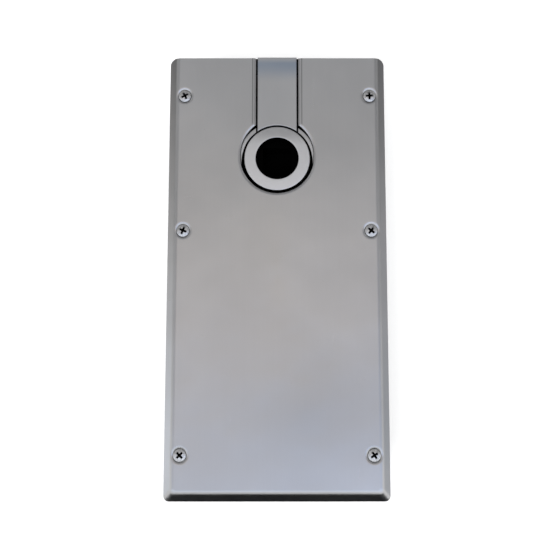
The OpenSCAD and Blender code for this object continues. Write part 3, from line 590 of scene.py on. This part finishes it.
def settings_of(context, *groups):
    """The values of groups, a later one's first: lengths in millimetres, the rest as they are."""
    values = {}
    for group in groups:
        holder = getattr(context.scene, "closer_" + group)
        for key in holder.__annotations__:
            value = getattr(holder, key)
            subtype = holder.bl_rna.properties[key].subtype
            values[key] = (value / MM if subtype == "DISTANCE"
                           else tuple(value) if subtype == "COLOR" else value)
    return values


def strip_half(s):
    """Half the width of the strip that shows, without its tab."""
    return mm_box("slot_filler")[1].x - s["tab_reach"] - s["slot_gap"]


def new_object(name, bm):
    mesh = bpy.data.meshes.new(name)
    bm.to_mesh(mesh)
    bm.free()
    made = bpy.data.objects.new(name, mesh)
    bpy.context.scene.collection.objects.link(made)
    return made


def link_mesh(name, bm):
    """Scales a mesh from millimetres to metres and makes an object of it, shaded smooth."""
    bmesh.ops.scale(bm, vec=(MM, MM, MM), verts=bm.verts)
    piece = new_object(name, bm)
    piece.data.polygons.foreach_set("use_smooth", [True] * len(piece.data.polygons))
    return piece


def modified(bm, kind, **settings):
    """The mesh with one modifier applied. Lengths among the settings are in metres."""
    work = link_mesh("work", bm)
    modifier = work.modifiers.new(kind, kind)
    for key, value in settings.items():
        setattr(modifier, key, value)
    shape = bpy.data.meshes.new_from_object(
        work.evaluated_get(bpy.context.evaluated_depsgraph_get()))
    done = bmesh.new()
    done.from_mesh(shape)
    bmesh.ops.scale(done, vec=(1 / MM,) * 3, verts=done.verts)
    weld(done)
    bpy.data.objects.remove(work)
    bpy.data.meshes.remove(shape)
    return done


def stand_in(name, bm, node, body, material):
    """Makes a piece of a mesh, with its finish, and lets it stand for a node of the model."""
    piece = link_mesh(name, bm)
    piece.data.set_sharp_from_angle(angle=SHARP)
    piece.modifiers.new("Weighted normals", "WEIGHTED_NORMAL").keep_sharp = True
    piece.data.materials.clear()
    piece.data.materials.append(material)
    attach(piece, body)
    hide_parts(node)
    return piece


def everything(bm):
    return bm.verts[:] + bm.edges[:] + bm.faces[:]


def middle(edge):
    return (edge.verts[0].co + edge.verts[1].co) / 2


def weld(bm):
    bmesh.ops.remove_doubles(bm, verts=bm.verts, dist=WELD)


def face_out(bm):
    bmesh.ops.recalc_face_normals(bm, faces=bm.faces)


def draw(bm, start, *places):
    """Straight lines from a vertex through places at the same height. Gives the last vertex."""
    for x, y in places:
        end = bm.verts.new((x, y, start.co.z))
        bm.edges.new((start, end))
        start = end
    return start


def sweep(bm, start, centre_y, angle, steps):
    """An arc from a vertex round the point at centre_y on the Y axis. Gives its last vertex."""
    made = bmesh.ops.spin(bm, geom=[start], cent=(0, centre_y, 0), axis=(0, 0, 1), angle=angle,
                          steps=steps, use_duplicate=False)
    return next(part for part in made["geom_last"] if isinstance(part, bmesh.types.BMVert))


def round_edges(bm, edges, width, segments):
    bmesh.ops.bevel(bm, geom=edges, offset=width, offset_type="OFFSET", segments=segments,
                    profile=0.5, affect="EDGES", clamp_overlap=False, material=-1)


def cut(bm, point, normal, clear=False):
    """Cuts the mesh by a plane, and with clear throws away what is on the normal's side."""
    bmesh.ops.bisect_plane(bm, geom=everything(bm), dist=1e-5, plane_co=point, plane_no=normal,
                           clear_outer=clear)


def fill_both_halves(bm, start, end):
    """Fills an outline that runs over x > 0, and copies it to the other side."""
    bm.edges.new((end, start))
    bmesh.ops.contextual_create(bm, geom=bm.edges)
    bmesh.ops.mirror(bm, geom=everything(bm), matrix=Matrix.Identity(4), merge_dist=WELD, axis="X")
    weld(bm)


def face_up(bm):
    """Turns an open sheet so that its largest face looks up."""
    face_out(bm)
    widest = max(bm.faces, key=lambda face: face.calc_area())
    if widest.normal.z < 0:
        bmesh.ops.reverse_faces(bm, faces=bm.faces)


def lathe(bm, profile, steps, closed):
    """Turns a profile of (radius, height) pairs round the Z axis."""
    verts = [bm.verts.new((radius, 0, z)) for radius, z in profile]
    pairs = list(zip(verts, verts[1:])) + ([(verts[-1], verts[0])] if closed else [])
    edges = [bm.edges.new(pair) for pair in pairs]
    bmesh.ops.spin(bm, geom=verts + edges, cent=(0, 0, 0), axis=(0, 0, 1), angle=2 * pi,
                   steps=steps, use_merge=True)
    weld(bm)
    face_out(bm)


def arc_points(centre, radius, start, end, steps):
    """Points of (radius, height) on an arc, with angles in degrees."""
    angles = [radians(start + (end - start) * n / steps) for n in range(steps + 1)]
    return [(centre[0] + radius * cos(angle), centre[1] + radius * sin(angle)) for angle in angles]


def screw_places():
    """The axes of the six cover screws, in millimetres, from the model's own screws."""
    foot, shank = mm_box("cover_screws")[0].z + NEAR, 6
    groups = {}
    for vert in frame["nodes"]["cover_screws"].data.vertices:
        x, y, z = vert.co / MM
        if z < foot:
            first = next((key for key in groups if hypot(key[0] - x, key[1] - y) < shank), (x, y))
            groups.setdefault(first, []).append((x, y))
    centres = [((min(xs) + max(xs)) / 2, (min(ys) + max(ys)) / 2)
               for xs, ys in (zip(*group) for group in groups.values())]
    return sorted(centres, key=lambda place: (-place[1], place[0]))


def dimple_fall(r, s):
    """How far the sheet falls at a distance r from a screw's axis."""
    deepest = 2.9
    if r >= s["dimple_reach"]:
        return 0.0
    if r >= s["dimple_seat"]:
        t = (s["dimple_reach"] - r) / (s["dimple_reach"] - s["dimple_seat"])
        return s["dimple_drop"] * t * t
    return min(s["dimple_drop"] + s["dimple_seat"] - r, deepest)


def cover_outline(bm, s, low, high):
    """The cover's flat top as one face, open at the back. Gives a test for the keyhole's edges."""
    cutout = mm_box("hub_ring")[1].x + s["cutout_gap"]
    slot = mm_box("slot_filler")[1].x - s["tab_reach"] - s["slot_roll"]
    upper = s["cutout_low"] + s["cutout_stretch"]
    flat_x, flat_y = high.x - s["bevel_run"], low.y + s["bevel_run"]
    foot, past = s["cutout_low"] - cutout, high.y + OVERSHOOT
    start = bm.verts.new((0, foot, high.z))
    end = sweep(bm, start, s["cutout_low"], pi / 2, 30)
    end = draw(bm, end, (cutout, upper))
    end = sweep(bm, end, upper, acos(slot / cutout), 16)
    end = draw(bm, end, (slot, s["lip_end"]), (slot, past), (flat_x, past), (flat_x, flat_y),
               (0, flat_y))
    fill_both_halves(bm, start, end)
    join_flat(bm)

    def in_keyhole(edge):
        x, y = middle(edge)[:2]
        return edge.is_boundary and abs(x) < cutout + NEAR and foot - NEAR < y < past - NEAR
    return in_keyhole


def join_flat(bm):
    """Joins faces that lie in one plane."""
    bmesh.ops.dissolve_limit(bm, angle_limit=radians(0.2), verts=[],
                             edges=[edge for edge in bm.edges if not edge.is_boundary])


def pulled(bm, edges):
    """Extrudes edges, and returns the new vertices and the new edges along them."""
    made = bmesh.ops.extrude_edge_only(bm, edges=edges)["geom"]
    verts = {part for part in made if isinstance(part, bmesh.types.BMVert)}
    rim = [part for part in made if isinstance(part, bmesh.types.BMEdge)
           and part.verts[0] in verts and part.verts[1] in verts]
    return verts, rim


def creased(edge):
    return not edge.is_boundary and edge.calc_face_angle(0) > CREASED


def level_edges(bm, z, rims):
    """The edges at a height where the flat top ends, at the rims or at the keyhole."""
    far_x, far_y = 60, -100
    return [edge for edge in bm.edges if creased(edge)
            and all(abs(v.co.z - z) < 1e-3 for v in edge.verts)
            and (abs(middle(edge).x) > far_x or middle(edge).y < far_y) == rims]


def roll_keyhole(bm, s, high, in_keyhole):
    """Leans the sheet down to the keyhole and hangs the rolled lip from it. Gives its edges."""
    bmesh.ops.inset_region(bm, faces=bm.faces[:], thickness=s["roll"], use_even_offset=True,
                           use_boundary=True)
    keyhole = [edge for edge in bm.edges if in_keyhole(edge)]
    leaning = {face for edge in keyhole for face in edge.link_faces}
    bmesh.ops.dissolve_faces(bm, faces=[face for face in bm.faces if face not in leaning])
    for vert in {vert for edge in keyhole for vert in edge.verts}:
        vert.co.z -= s["roll_drop"]
    verts, rim = pulled(bm, keyhole)
    under = 0.05
    for vert in verts:
        vert.co.z = high.z - s["sheet"] - under
    verts, rim = pulled(bm, [edge for edge in rim if middle(edge).y < s["lip_end"]])
    bmesh.ops.translate(bm, verts=list(verts), vec=(0, 0, -s["lip_drop"]))
    return keyhole


def bevel_rims(bm, s, low, high):
    """Bends down the two long sides and the front end, past their lower edge."""
    run = s["bevel_run"]
    flat_x, flat_y = high.x - run, low.y + run

    def at_side(vert):
        return abs(abs(vert.co.x) - flat_x) < NEAR

    def at_front(vert):
        return abs(vert.co.y - flat_y) < NEAR

    verts = pulled(bm, [edge for edge in bm.edges if edge.is_boundary and (
        all(map(at_side, edge.verts)) or all(map(at_front, edge.verts)))])[0]
    drop = high.z - low.z
    reach = (drop + s["sheet"]) / drop
    for vert in verts:
        if at_side(vert):
            vert.co.x += reach * run * (1 if vert.co.x > 0 else -1)
        if at_front(vert):
            vert.co.y -= reach * run
        vert.co.z = high.z - reach * drop
    face_out(bm)
    mitres = [edge for edge in bm.edges
              if creased(edge) and (edge.verts[0] in verts) != (edge.verts[1] in verts)]
    round_edges(bm, mitres, s["mitre"], 8)


def round_back(bm, corner, high):
    """Cuts the two back corners round by flat cuts."""
    cuts = 10
    for n in range(1, cuts + 1):
        angle = pi / 2 * n / cuts
        for side in (-1, 1):
            normal = Vector((side * cos(angle), sin(angle), 0))
            centre = Vector((side * (high.x - corner), high.y - corner, 0))
            cut(bm, centre + corner * normal, normal, True)


def press_dimples(bm, s):
    """Divides the sheet round each screw and presses its dimple."""
    pitch, reach = 0.45, 15
    places = screw_places()
    for axis in (0, 1):
        normal = Vector((1 - axis, axis, 0))
        for centre in sorted({round(place[axis], 2) for place in places}):
            for n in range(-reach, reach + 1):
                cut(bm, (centre + n * pitch) * normal, normal)
    for vert in bm.verts:
        for x, y in places:
            vert.co.z -= dimple_fall(hypot(vert.co.x - x, vert.co.y - y), s)


def cover_mesh(s):
    """The pressed cover: bevelled on three sides, with a rolled keyhole, its lip and six dimples."""
    low, high = mm_box("cover_plate")
    bm = bmesh.new()
    in_keyhole = cover_outline(bm, s, low, high)
    keyhole = roll_keyhole(bm, s, high, in_keyhole)
    bevel_rims(bm, s, low, high)
    round_edges(bm, level_edges(bm, high.z, True), s["crease"], 6)
    round_edges(bm, level_edges(bm, high.z, False), s["roll_edge"], 4)
    round_edges(bm, [edge for edge in keyhole if edge.is_valid], s["roll_edge"], 4)
    round_back(bm, s["back_corner"], high)
    face_up(bm)
    press_dimples(bm, s)
    bm = modified(bm, "SOLIDIFY", thickness=s["sheet"] * MM, offset=-1, use_even_offset=False)
    cut(bm, (0, 0, low.z), (0, 0, -1), True)
    bmesh.ops.edgeloop_fill(bm, edges=[edge for edge in bm.edges if edge.is_boundary])
    face_out(bm)
    return bm


def bar(bm, low, high):
    """A bar from its lowest to its highest corner."""
    verts = bmesh.ops.create_cube(bm, size=1)["verts"]
    bmesh.ops.scale(bm, vec=high - low, verts=verts)
    bmesh.ops.translate(bm, vec=(low + high) / 2, verts=verts)


def strip_mesh(s):
    """The filler strip: rounded edges, a hollow end that follows the ring and a tab under its back."""
    low, high = mm_box("slot_filler")
    wide, foot = strip_half(s), high.z - s["sheet"]
    ring_face = s["face"] + s["ring_gap"]
    bm = bmesh.new()
    start = bm.verts.new((0, ring_face, high.z))
    end = sweep(bm, start, 0, acos(wide / ring_face) - pi / 2, 12)
    end = draw(bm, end, (wide, high.y), (0, high.y))
    fill_both_halves(bm, start, end)
    face_up(bm)
    join_flat(bm)
    made = bmesh.ops.extrude_face_region(bm, geom=bm.faces[:])["geom"]
    bmesh.ops.translate(bm, verts=[v for v in made if isinstance(v, bmesh.types.BMVert)],
                        vec=(0, 0, foot - high.z))
    face_out(bm)
    top = [edge for edge in bm.edges if all(abs(v.co.z - high.z) < NEAR for v in edge.verts)]
    round_edges(bm, top, s["edge"], 4)
    wall, back = mm_box("cement_box")[1].y + s["run_gap"], mm_box("cover_plate")[1].y
    seam = 0.02
    bar(bm, Vector((low.x, wall, foot - s["tab"])), Vector((high.x, back, foot - seam)))
    return bm


def ring_mesh(s):
    """The hub ring: a gently domed face, a groove, a lower flange and the round mouth."""
    low, high = mm_box("hub_ring")
    bore, face, edge, top, flange = s["bore"], s["face"], s["edge"], high.z, s["flange"]
    flange_z, groove_x = top - s["step"], face + s["groove"]
    groove_z = flange_z - s["groove_depth"]
    mouth, mouth_cut, step, rim, rings = 0.5, 0.16, 0.15, 0.2, 12
    inner, outer = bore + mouth, face - edge
    profile = [(bore, low.z + s["hub_rise"]), (bore, top - mouth),
               (bore + mouth_cut, top - mouth_cut)]
    profile += [(inner + (outer - inner) * n / rings, top - s["dome"] * (n / rings) ** 1.4)
                for n in range(rings + 1)]
    profile += arc_points((outer, top - s["dome"] - edge), edge, 80, 0, 6)
    profile += [(face, groove_z), (groove_x, groove_z)]
    profile += arc_points((groove_x + step, flange_z - step), step, 180, 90, 3)
    profile += arc_points((flange - rim, flange_z - rim), rim, 90, 0, 4)
    profile += [(flange, low.z + rim), (flange - rim, low.z), (s["hub"], low.z),
                (s["hub"], low.z + s["hub_rise"])]
    bm = bmesh.new()
    lathe(bm, profile, 144, True)
    return bm


def blade(bm, span, width, depth, turn):
    """A tapered blade of the cross recess, centred on the axis, its top above z = 0."""
    rise = 2.0
    widen, taper = (1.25, 1.2), (0.34, 0.62, 1)
    verts = bmesh.ops.create_cube(bm, size=1)["verts"]
    bmesh.ops.scale(bm, vec=(span * widen[0], width * widen[1], depth + rise), verts=verts)
    bmesh.ops.translate(bm, vec=(0, 0, (rise - depth) / 2), verts=verts)
    bmesh.ops.scale(bm, vec=taper, verts=[v for v in verts if v.co.z < 0])
    bmesh.ops.rotate(bm, cent=(0, 0, 0), matrix=Matrix.Rotation(turn, 3, "Z"), verts=verts)


def screw_mesh(s):
    """One raised countersunk screw, its rim at z = 0, with the cross recess cut in its dome."""
    low, high = mm_box("cover_screws")
    head = high.x - max(place[0] for place in screw_places())
    shank, bulge, foot, lead = s["shank"], s["dome"], low.z - high.z, 0.5
    rim = -bulge
    radius = (head * head + bulge * bulge) / (2 * bulge)
    half = degrees(atan2(head - 0.12, radius - bulge))
    profile = [(0, foot), (shank - lead, foot), (shank, foot + lead),
               (shank, rim - (head - shank)), (head - 0.05, rim - 0.1), (head, rim)]
    profile += arc_points((0, -radius), radius, 90 - half, 90, 10)
    body = bmesh.new()
    lathe(body, profile, 64, False)
    cutter = bmesh.new()
    for turn in (0, pi / 2):
        blade(cutter, s["recess"], s["arm"], s["depth"], turn)
    face_out(cutter)
    tool = link_mesh("recess_cutter", cutter)
    bm = modified(body, "BOOLEAN", operation="DIFFERENCE", object=tool, solver="EXACT",
                  use_self=True)
    bpy.data.objects.remove(tool)
    return bm


def welded_copy(node):
    """A node's mesh as one welded mesh in millimetres, with its flat faces whole."""
    bm = bmesh.new()
    bm.from_mesh(frame["nodes"][node].data)
    bmesh.ops.scale(bm, vec=(1 / MM,) * 3, verts=bm.verts)
    bmesh.ops.remove_doubles(bm, verts=bm.verts, dist=1e-3)
    bmesh.ops.dissolve_limit(bm, angle_limit=radians(0.3), verts=bm.verts, edges=bm.edges)
    return bm


def box_mesh(s):
    """The cement box with the bend round its floor."""
    low, high = mm_box("cement_box")
    bm = welded_copy("cement_box")
    smallest_wall = 60

    def under_wall(edge):
        walls = [face for face in edge.link_faces if abs(face.normal.z) < 0.1]
        return bool(walls and all(abs(v.co.z - low.z) < NEAR for v in edge.verts)
                    and walls[0].calc_area() > smallest_wall
                    and walls[0].normal.dot(middle(edge) - (low + high) / 2) > 0)
    round_edges(bm, [edge for edge in bm.edges if under_wall(edge)], s["bend"], 5)
    return bm


# ---- The stage ----

def stage_mesh(name, bm, material):
    piece = new_object(name, bm)
    piece.data.materials.append(material)
    return piece


def seen_rays(p):
    """1 where the camera, a mirror or a glass looks."""
    path = p.tree.nodes.new("ShaderNodeLightPath")
    camera, gloss, glass = (Wire(p, path.outputs[f"Is {kind} Ray"])
                            for kind in ("Camera", "Glossy", "Transmission"))
    return camera.either(gloss).either(glass)


def floor_paint(colour):
    """Pale floor that keeps shadows and looks white where nothing shades it."""
    p = Paint("pale_floor")
    plain = p.shades(p.noise(260, 3, 0.6), colour, 0.985, 1.01)
    glow = p.blend(seen_rays(p), (0, 0, 0), (1, 1, 1))
    return p.finish(plain, 0.9, metal=0, Specular_IOR_Level=0.0, Emission_Color=glow,
                    Emission_Strength=0.36)


def card(name, edge, folds, colour, strength=1.0):
    """A card that only shows in the metal's gloss: its first edge, drawn out by each of the folds."""
    bm = bmesh.new()
    edges = [bm.edges.new([bm.verts.new(corner) for corner in edge])]
    for step in folds:
        verts, edges = pulled(bm, edges)
        bmesh.ops.translate(bm, verts=list(verts), vec=step)
    p = Paint(name)
    glow = p.add("ShaderNodeEmission", None, {
        "Color": colour(p) if callable(colour) else colour, "Strength": strength})
    piece = stage_mesh(name, bm, p.end(glow))
    piece.visible_camera = piece.visible_diffuse = piece.visible_shadow = False
    piece.visible_transmission = False


def add_lamp(name, place, aim, size, watts):
    data = bpy.data.lights.new(name, "AREA")
    data.shape = "DISK"
    data.size = size
    data.energy = watts
    lamp = bpy.data.objects.new(name, data)
    lamp.location = place
    lamp.rotation_euler = (Vector(aim) - Vector(place)).to_track_quat("-Z", "Y").to_euler()
    lamp.visible_glossy = False
    bpy.context.scene.collection.objects.link(lamp)


def add_camera():
    """Looks down steeply along +Y, with a long lens."""
    data = bpy.data.cameras.new("camera")
    data.lens = 70
    data.sensor_width = 36
    data.clip_start = 0.02
    camera = bpy.data.objects.new("camera", data)
    rise, distance, aim = radians(80.3), 0.737, Vector((0.002, -0.0853, 0.005))
    camera.location = aim + distance * Vector((0, -cos(rise), sin(rise)))
    camera.rotation_euler = (pi / 2 - rise, 0, 0)
    bpy.context.scene.collection.objects.link(camera)
    bpy.context.scene.camera = camera


def light_world(sky):
    """Even light from all round, and pure white where it is seen."""
    p = Paint("white_room", world=True)
    dim, white = (p.add("ShaderNodeBackground", None, {"Color": (1, 1, 1), "Strength": strength})
                  for strength in (sky, 1.0))
    bpy.context.scene.world = p.end(
        p.add("ShaderNodeMixShader", None, {0: seen_rays(p), 1: dim, 2: white}))


def ceiling_colour(p):
    """Dark far back, grey over the back, warm over the middle, bluish and brighter over the front."""
    x, y = p.axes()[:2]
    wide = abs(x).above(0.45, 1.1)
    far = p.blend(y.above(0.85, 1.2), (0.58, 0.59, 0.605), (0.34, 0.34, 0.35))
    back = p.blend(y.above(0.14, 0.44), (0.98, 0.885, 0.79), far)
    dim = p.blend(wide * 0.55 + x.above(0.0, 0.3) * 0.14, back, (0.16, 0.16, 0.165))
    blue = p.blend((x + 0.4).above(0.0, 0.9), (0.80, 0.862, 1.02), (0.87, 0.985, 1.27))
    corner = x.above(0.02, 0.22) * y.above(-0.12, -0.28)
    window = p.blend(corner * 0.6, blue, (0.99, 1.19, 1.64))
    low = p.blend(y.above(-0.85, -1.3), (1.22, 1.32, 1.50), (0.90, 0.915, 0.95))
    near = p.blend(y.above(-0.35, -0.75), window, low)
    return p.blend(y.above(0.12, -0.32), dim, near)


def side_colour(dark, mid, light, upper_back, upper_front):
    """Dark beside the back, light beside the front, and plainer above."""
    def colour(p):
        y, z = p.axes()[1:]
        sides = p.blend(y.above(0.08, 0.44), p.blend(y.above(0.04, -0.24), mid, light), dark)
        above = p.blend(y.above(0.15, -0.2), (upper_back,) * 3, (upper_front,) * 3)
        return p.blend(z.above(0.15, 0.7), sides, above)
    return colour


# ---- Operators ----

class CLOSER_OT_cover(bpy.types.Operator):
    """Presses the cover plate from sheet"""
    bl_idname = "closer.cover"
    bl_label = "Cover plate"

    def execute(self, context):
        look = settings_of(context, "steel")
        stand_in("cover_sheet", cover_mesh(settings_of(context, "strip", "cover")),
                 "cover_plate", "floor_box",
                 satin_sheet(Paint("satin_cover_steel"), look["cover"], look["cover_roughness"],
                             **COVER_GAP_SHADE))
        return {"FINISHED"}


class CLOSER_OT_slot_strip(bpy.types.Operator):
    """Makes the strip that fills the open slot"""
    bl_idname = "closer.slot_strip"
    bl_label = "Slot strip"

    def execute(self, context):
        look = settings_of(context, "steel")
        # The strip's sides below side_z are painted black, as painted shade, and its back end carries a painted
        # bluish reflection.
        side_z = mm_box("slot_filler")[1].z * MM - STRIP_SIDE
        stand_in("slot_strip", strip_mesh(settings_of(context, "ring", "cover", "strip")),
                 "slot_filler", "floor_box",
                 satin_sheet(Paint("satin_strip_steel"), look["strip"], look["cover_roughness"],
                             side_z, film_y=STRIP_REFLECTION_Y))
        return {"FINISHED"}


class CLOSER_OT_hub_ring(bpy.types.Operator):
    """Turns the ring round the drive socket"""
    bl_idname = "closer.hub_ring"
    bl_label = "Hub ring"

    def execute(self, context):
        s = settings_of(context, "ring")
        strip_x = strip_half(settings_of(context, "strip", "cover"))
        metres = {key: value * MM for key, value in s.items()}
        stand_in("hub_ring_turned", ring_mesh(s), "hub_ring", "spindle_group",
                 turned_ring(Paint("turned_ring_steel"), settings_of(context, "steel")["ring"],
                             metres, mm_box("hub_ring")[1].z * MM, strip_x * MM))
        return {"FINISHED"}


class CLOSER_OT_cover_screws(bpy.types.Operator):
    """Makes the six raised countersunk screws, each turned its own way"""
    bl_idname = "closer.cover_screws"
    bl_label = "Cover screws"

    turns = (28, 2, 68, 52, 45, 33)

    def execute(self, context):
        s = settings_of(context, "screws")
        top = mm_box("cover_screws")[1].z
        one = screw_mesh(s)
        pattern = bpy.data.meshes.new("screw_pattern")
        one.to_mesh(pattern)
        one.free()
        bm = bmesh.new()
        for (x, y), turn in zip(screw_places(), self.turns):
            known = set(bm.verts)
            bm.from_mesh(pattern)
            added = [vert for vert in bm.verts if vert not in known]
            bmesh.ops.rotate(bm, cent=(0, 0, 0), matrix=Matrix.Rotation(radians(turn), 3, "Z"),
                             verts=added)
            bmesh.ops.translate(bm, vec=(x, y, top), verts=added)
        bpy.data.meshes.remove(pattern)
        stand_in("cover_screw_set", bm, "cover_screws", "floor_box",
                 screw_steel(Paint("bright_screw_steel"), (0.70, 0.70, 0.70),
                             (top - s["dome"]) * MM))
        return {"FINISHED"}


class CLOSER_OT_cement_box(bpy.types.Operator):
    """Bends the sunk box"""
    bl_idname = "closer.cement_box"
    bl_label = "Cement box"

    def execute(self, context):
        stand_in("cement_box_bent", box_mesh(settings_of(context, "box")),
                 "cement_box", "floor_box",
                 galvanised(Paint("galvanised_sheet"), (0.52, 0.54, 0.55),
                            mm_box("slot_filler")[1].x * MM))
        return {"FINISHED"}


class CLOSER_OT_works(bpy.types.Operator):
    """Gives every piece of the works inside the box its finish"""
    bl_idname = "closer.works"
    bl_label = "Works"

    def execute(self, context):
        record = frame["record"]
        colours = {material["slot"]: tuple(material["base_color"][:3])
                   for material in record["materials"]}
        colours["cover_sheet"] = settings_of(context, "steel")["strip"]
        ring = settings_of(context, "ring")
        floor_z = mm_box("cover_plate")[1].z - ring["socket"]
        details = {
            "cover_sheet": {"roughness": 0.36, "gap_z": -1.0},
            "dark_steel": {"socket": ring["bore"] * MM, "floor_z": floor_z * MM},
            "cast_body": BODY_KEYHOLE_SHADE,
        }
        made = {}
        for part in record["subparts"]:
            slot = part["material_slot"]
            if slot not in made:
                finish, name = FINISHES[slot]
                made[slot] = finish(Paint(name), colours[slot], **details.get(slot, {}))
            for place in frame["nodes"][part["node"]].material_slots:
                place.material = made[slot]
        return {"FINISHED"}


class CLOSER_OT_springs(bpy.types.Operator):
    """Sets in the two closing springs"""
    bl_idname = "closer.springs"
    bl_label = "Closing springs"

    def execute(self, context):
        slide = next(joint for joint in frame["joints"] if joint["name"] == "carriage_slide")
        for spring in slide["deforming_nodes"]:
            node, foot = spring["node"], spring["fixed_end_y_m"]
            wire = frame["nodes"][node].material_slots[0].material
            piece = stand_in(node + "_coil", welded_copy(node), node, "floor_box",
                             wire)
            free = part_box(node)[1][1] - foot
            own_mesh(piece)
        return {"FINISHED"}


class CLOSER_OT_stage(bpy.types.Operator):
    """Sets the floor, the light, the cards and the camera"""
    bl_idname = "closer.stage"
    bl_label = "Stage"

    def execute(self, context):
        s = settings_of(context, "studio")
        ground = CAD_BOX[0][2]
        bm = bmesh.new()
        bmesh.ops.create_grid(bm, x_segments=1, y_segments=1, size=4)
        bmesh.ops.translate(bm, vec=(0, 0, ground - 0.0002), verts=bm.verts)
        stage_mesh("floor", bm, floor_paint(s["floor"]))

        low, wide, near, front, back = ground + 0.0006, 1.6, 0.12, -0.26, 1.2
        card("ceiling_card", ((-wide, -1.5, 1.5), (wide, -1.5, 1.5)), [(0, 3.6, 0)],
             ceiling_colour, s["ceiling"])
        card("front_card", ((-wide, -0.27, low), (wide, -0.27, low)),
             [(0, -1.2, 0), (0, 0, 1.0)], (0.010, 0.010, 0.011))
        card("back_card", ((-wide, 2.1, low), (wide, 2.1, low)), [(0, 0, 1.5)],
             (0.25, 0.25, 0.25))
        for name, side, colour in (
                ("left_card", -1, side_colour((0.05, 0.05, 0.05), (0.66, 0.65, 0.64),
                                              (1.2, 1.27, 1.38), 0.44, 0.95)),
                ("right_card", 1, side_colour((0.10, 0.10, 0.10), (0.50, 0.50, 0.51),
                                              (0.50, 0.54, 0.60), 0.40, 1.15))):
            card(name, ((side * near, front, low), (side * near, back, low)),
                 [(side * 1.0, 0, 0), (0, 0, 0.42), (side * 0.48, 0, 1.07)], colour)
        add_lamp("key_lamp", (-0.5, -0.9, 1.5), (0, -0.08, 0), 0.9, 16)
        add_lamp("fill_lamp", (0.9, 0.5, 1.3), (0, -0.08, 0), 1.1, 9)
        light_world(s["sky"])
        add_camera()
        context.scene.view_settings.view_transform = "Standard"
        return {"FINISHED"}


class CLOSER_PT_panel(bpy.types.Panel):
    """Lists the door closer's pieces and their sizes"""
    bl_idname = "CLOSER_PT_panel"
    bl_label = "Door closer"
    bl_space_type = "VIEW_3D"
    bl_region_type = "UI"
    bl_category = "Door closer"

    def draw(self, context):
        for operator in OPERATORS:
            self.layout.operator(operator.bl_idname)
        for group in SETTINGS:
            column = self.layout.column(align=True)
            column.label(text=group.capitalize())
            holder = getattr(context.scene, "closer_" + group)
            for key in holder.__annotations__:
                column.prop(holder, key)


OPERATORS = (
    CLOSER_OT_cover,
    CLOSER_OT_slot_strip,
    CLOSER_OT_hub_ring,
    CLOSER_OT_cover_screws,
    CLOSER_OT_cement_box,
    CLOSER_OT_works,
    CLOSER_OT_springs,
    CLOSER_OT_stage,
)
CLASSES = (*SETTINGS.values(), *OPERATORS, CLOSER_PT_panel)


def register():
    for cls in CLASSES:
        bpy.utils.register_class(cls)
    for group, cls in SETTINGS.items():
        setattr(bpy.types.Scene, "closer_" + group, bpy.props.PointerProperty(type=cls))


def unregister():
    for group in SETTINGS:
        delattr(bpy.types.Scene, "closer_" + group)
    for cls in reversed(CLASSES):
        bpy.utils.unregister_class(cls)


def main():
    register()
    for operator in OPERATORS:
        group, name = operator.bl_idname.split(".")
        getattr(getattr(bpy.ops, group), name)()


if __name__ == "__main__":
    main()
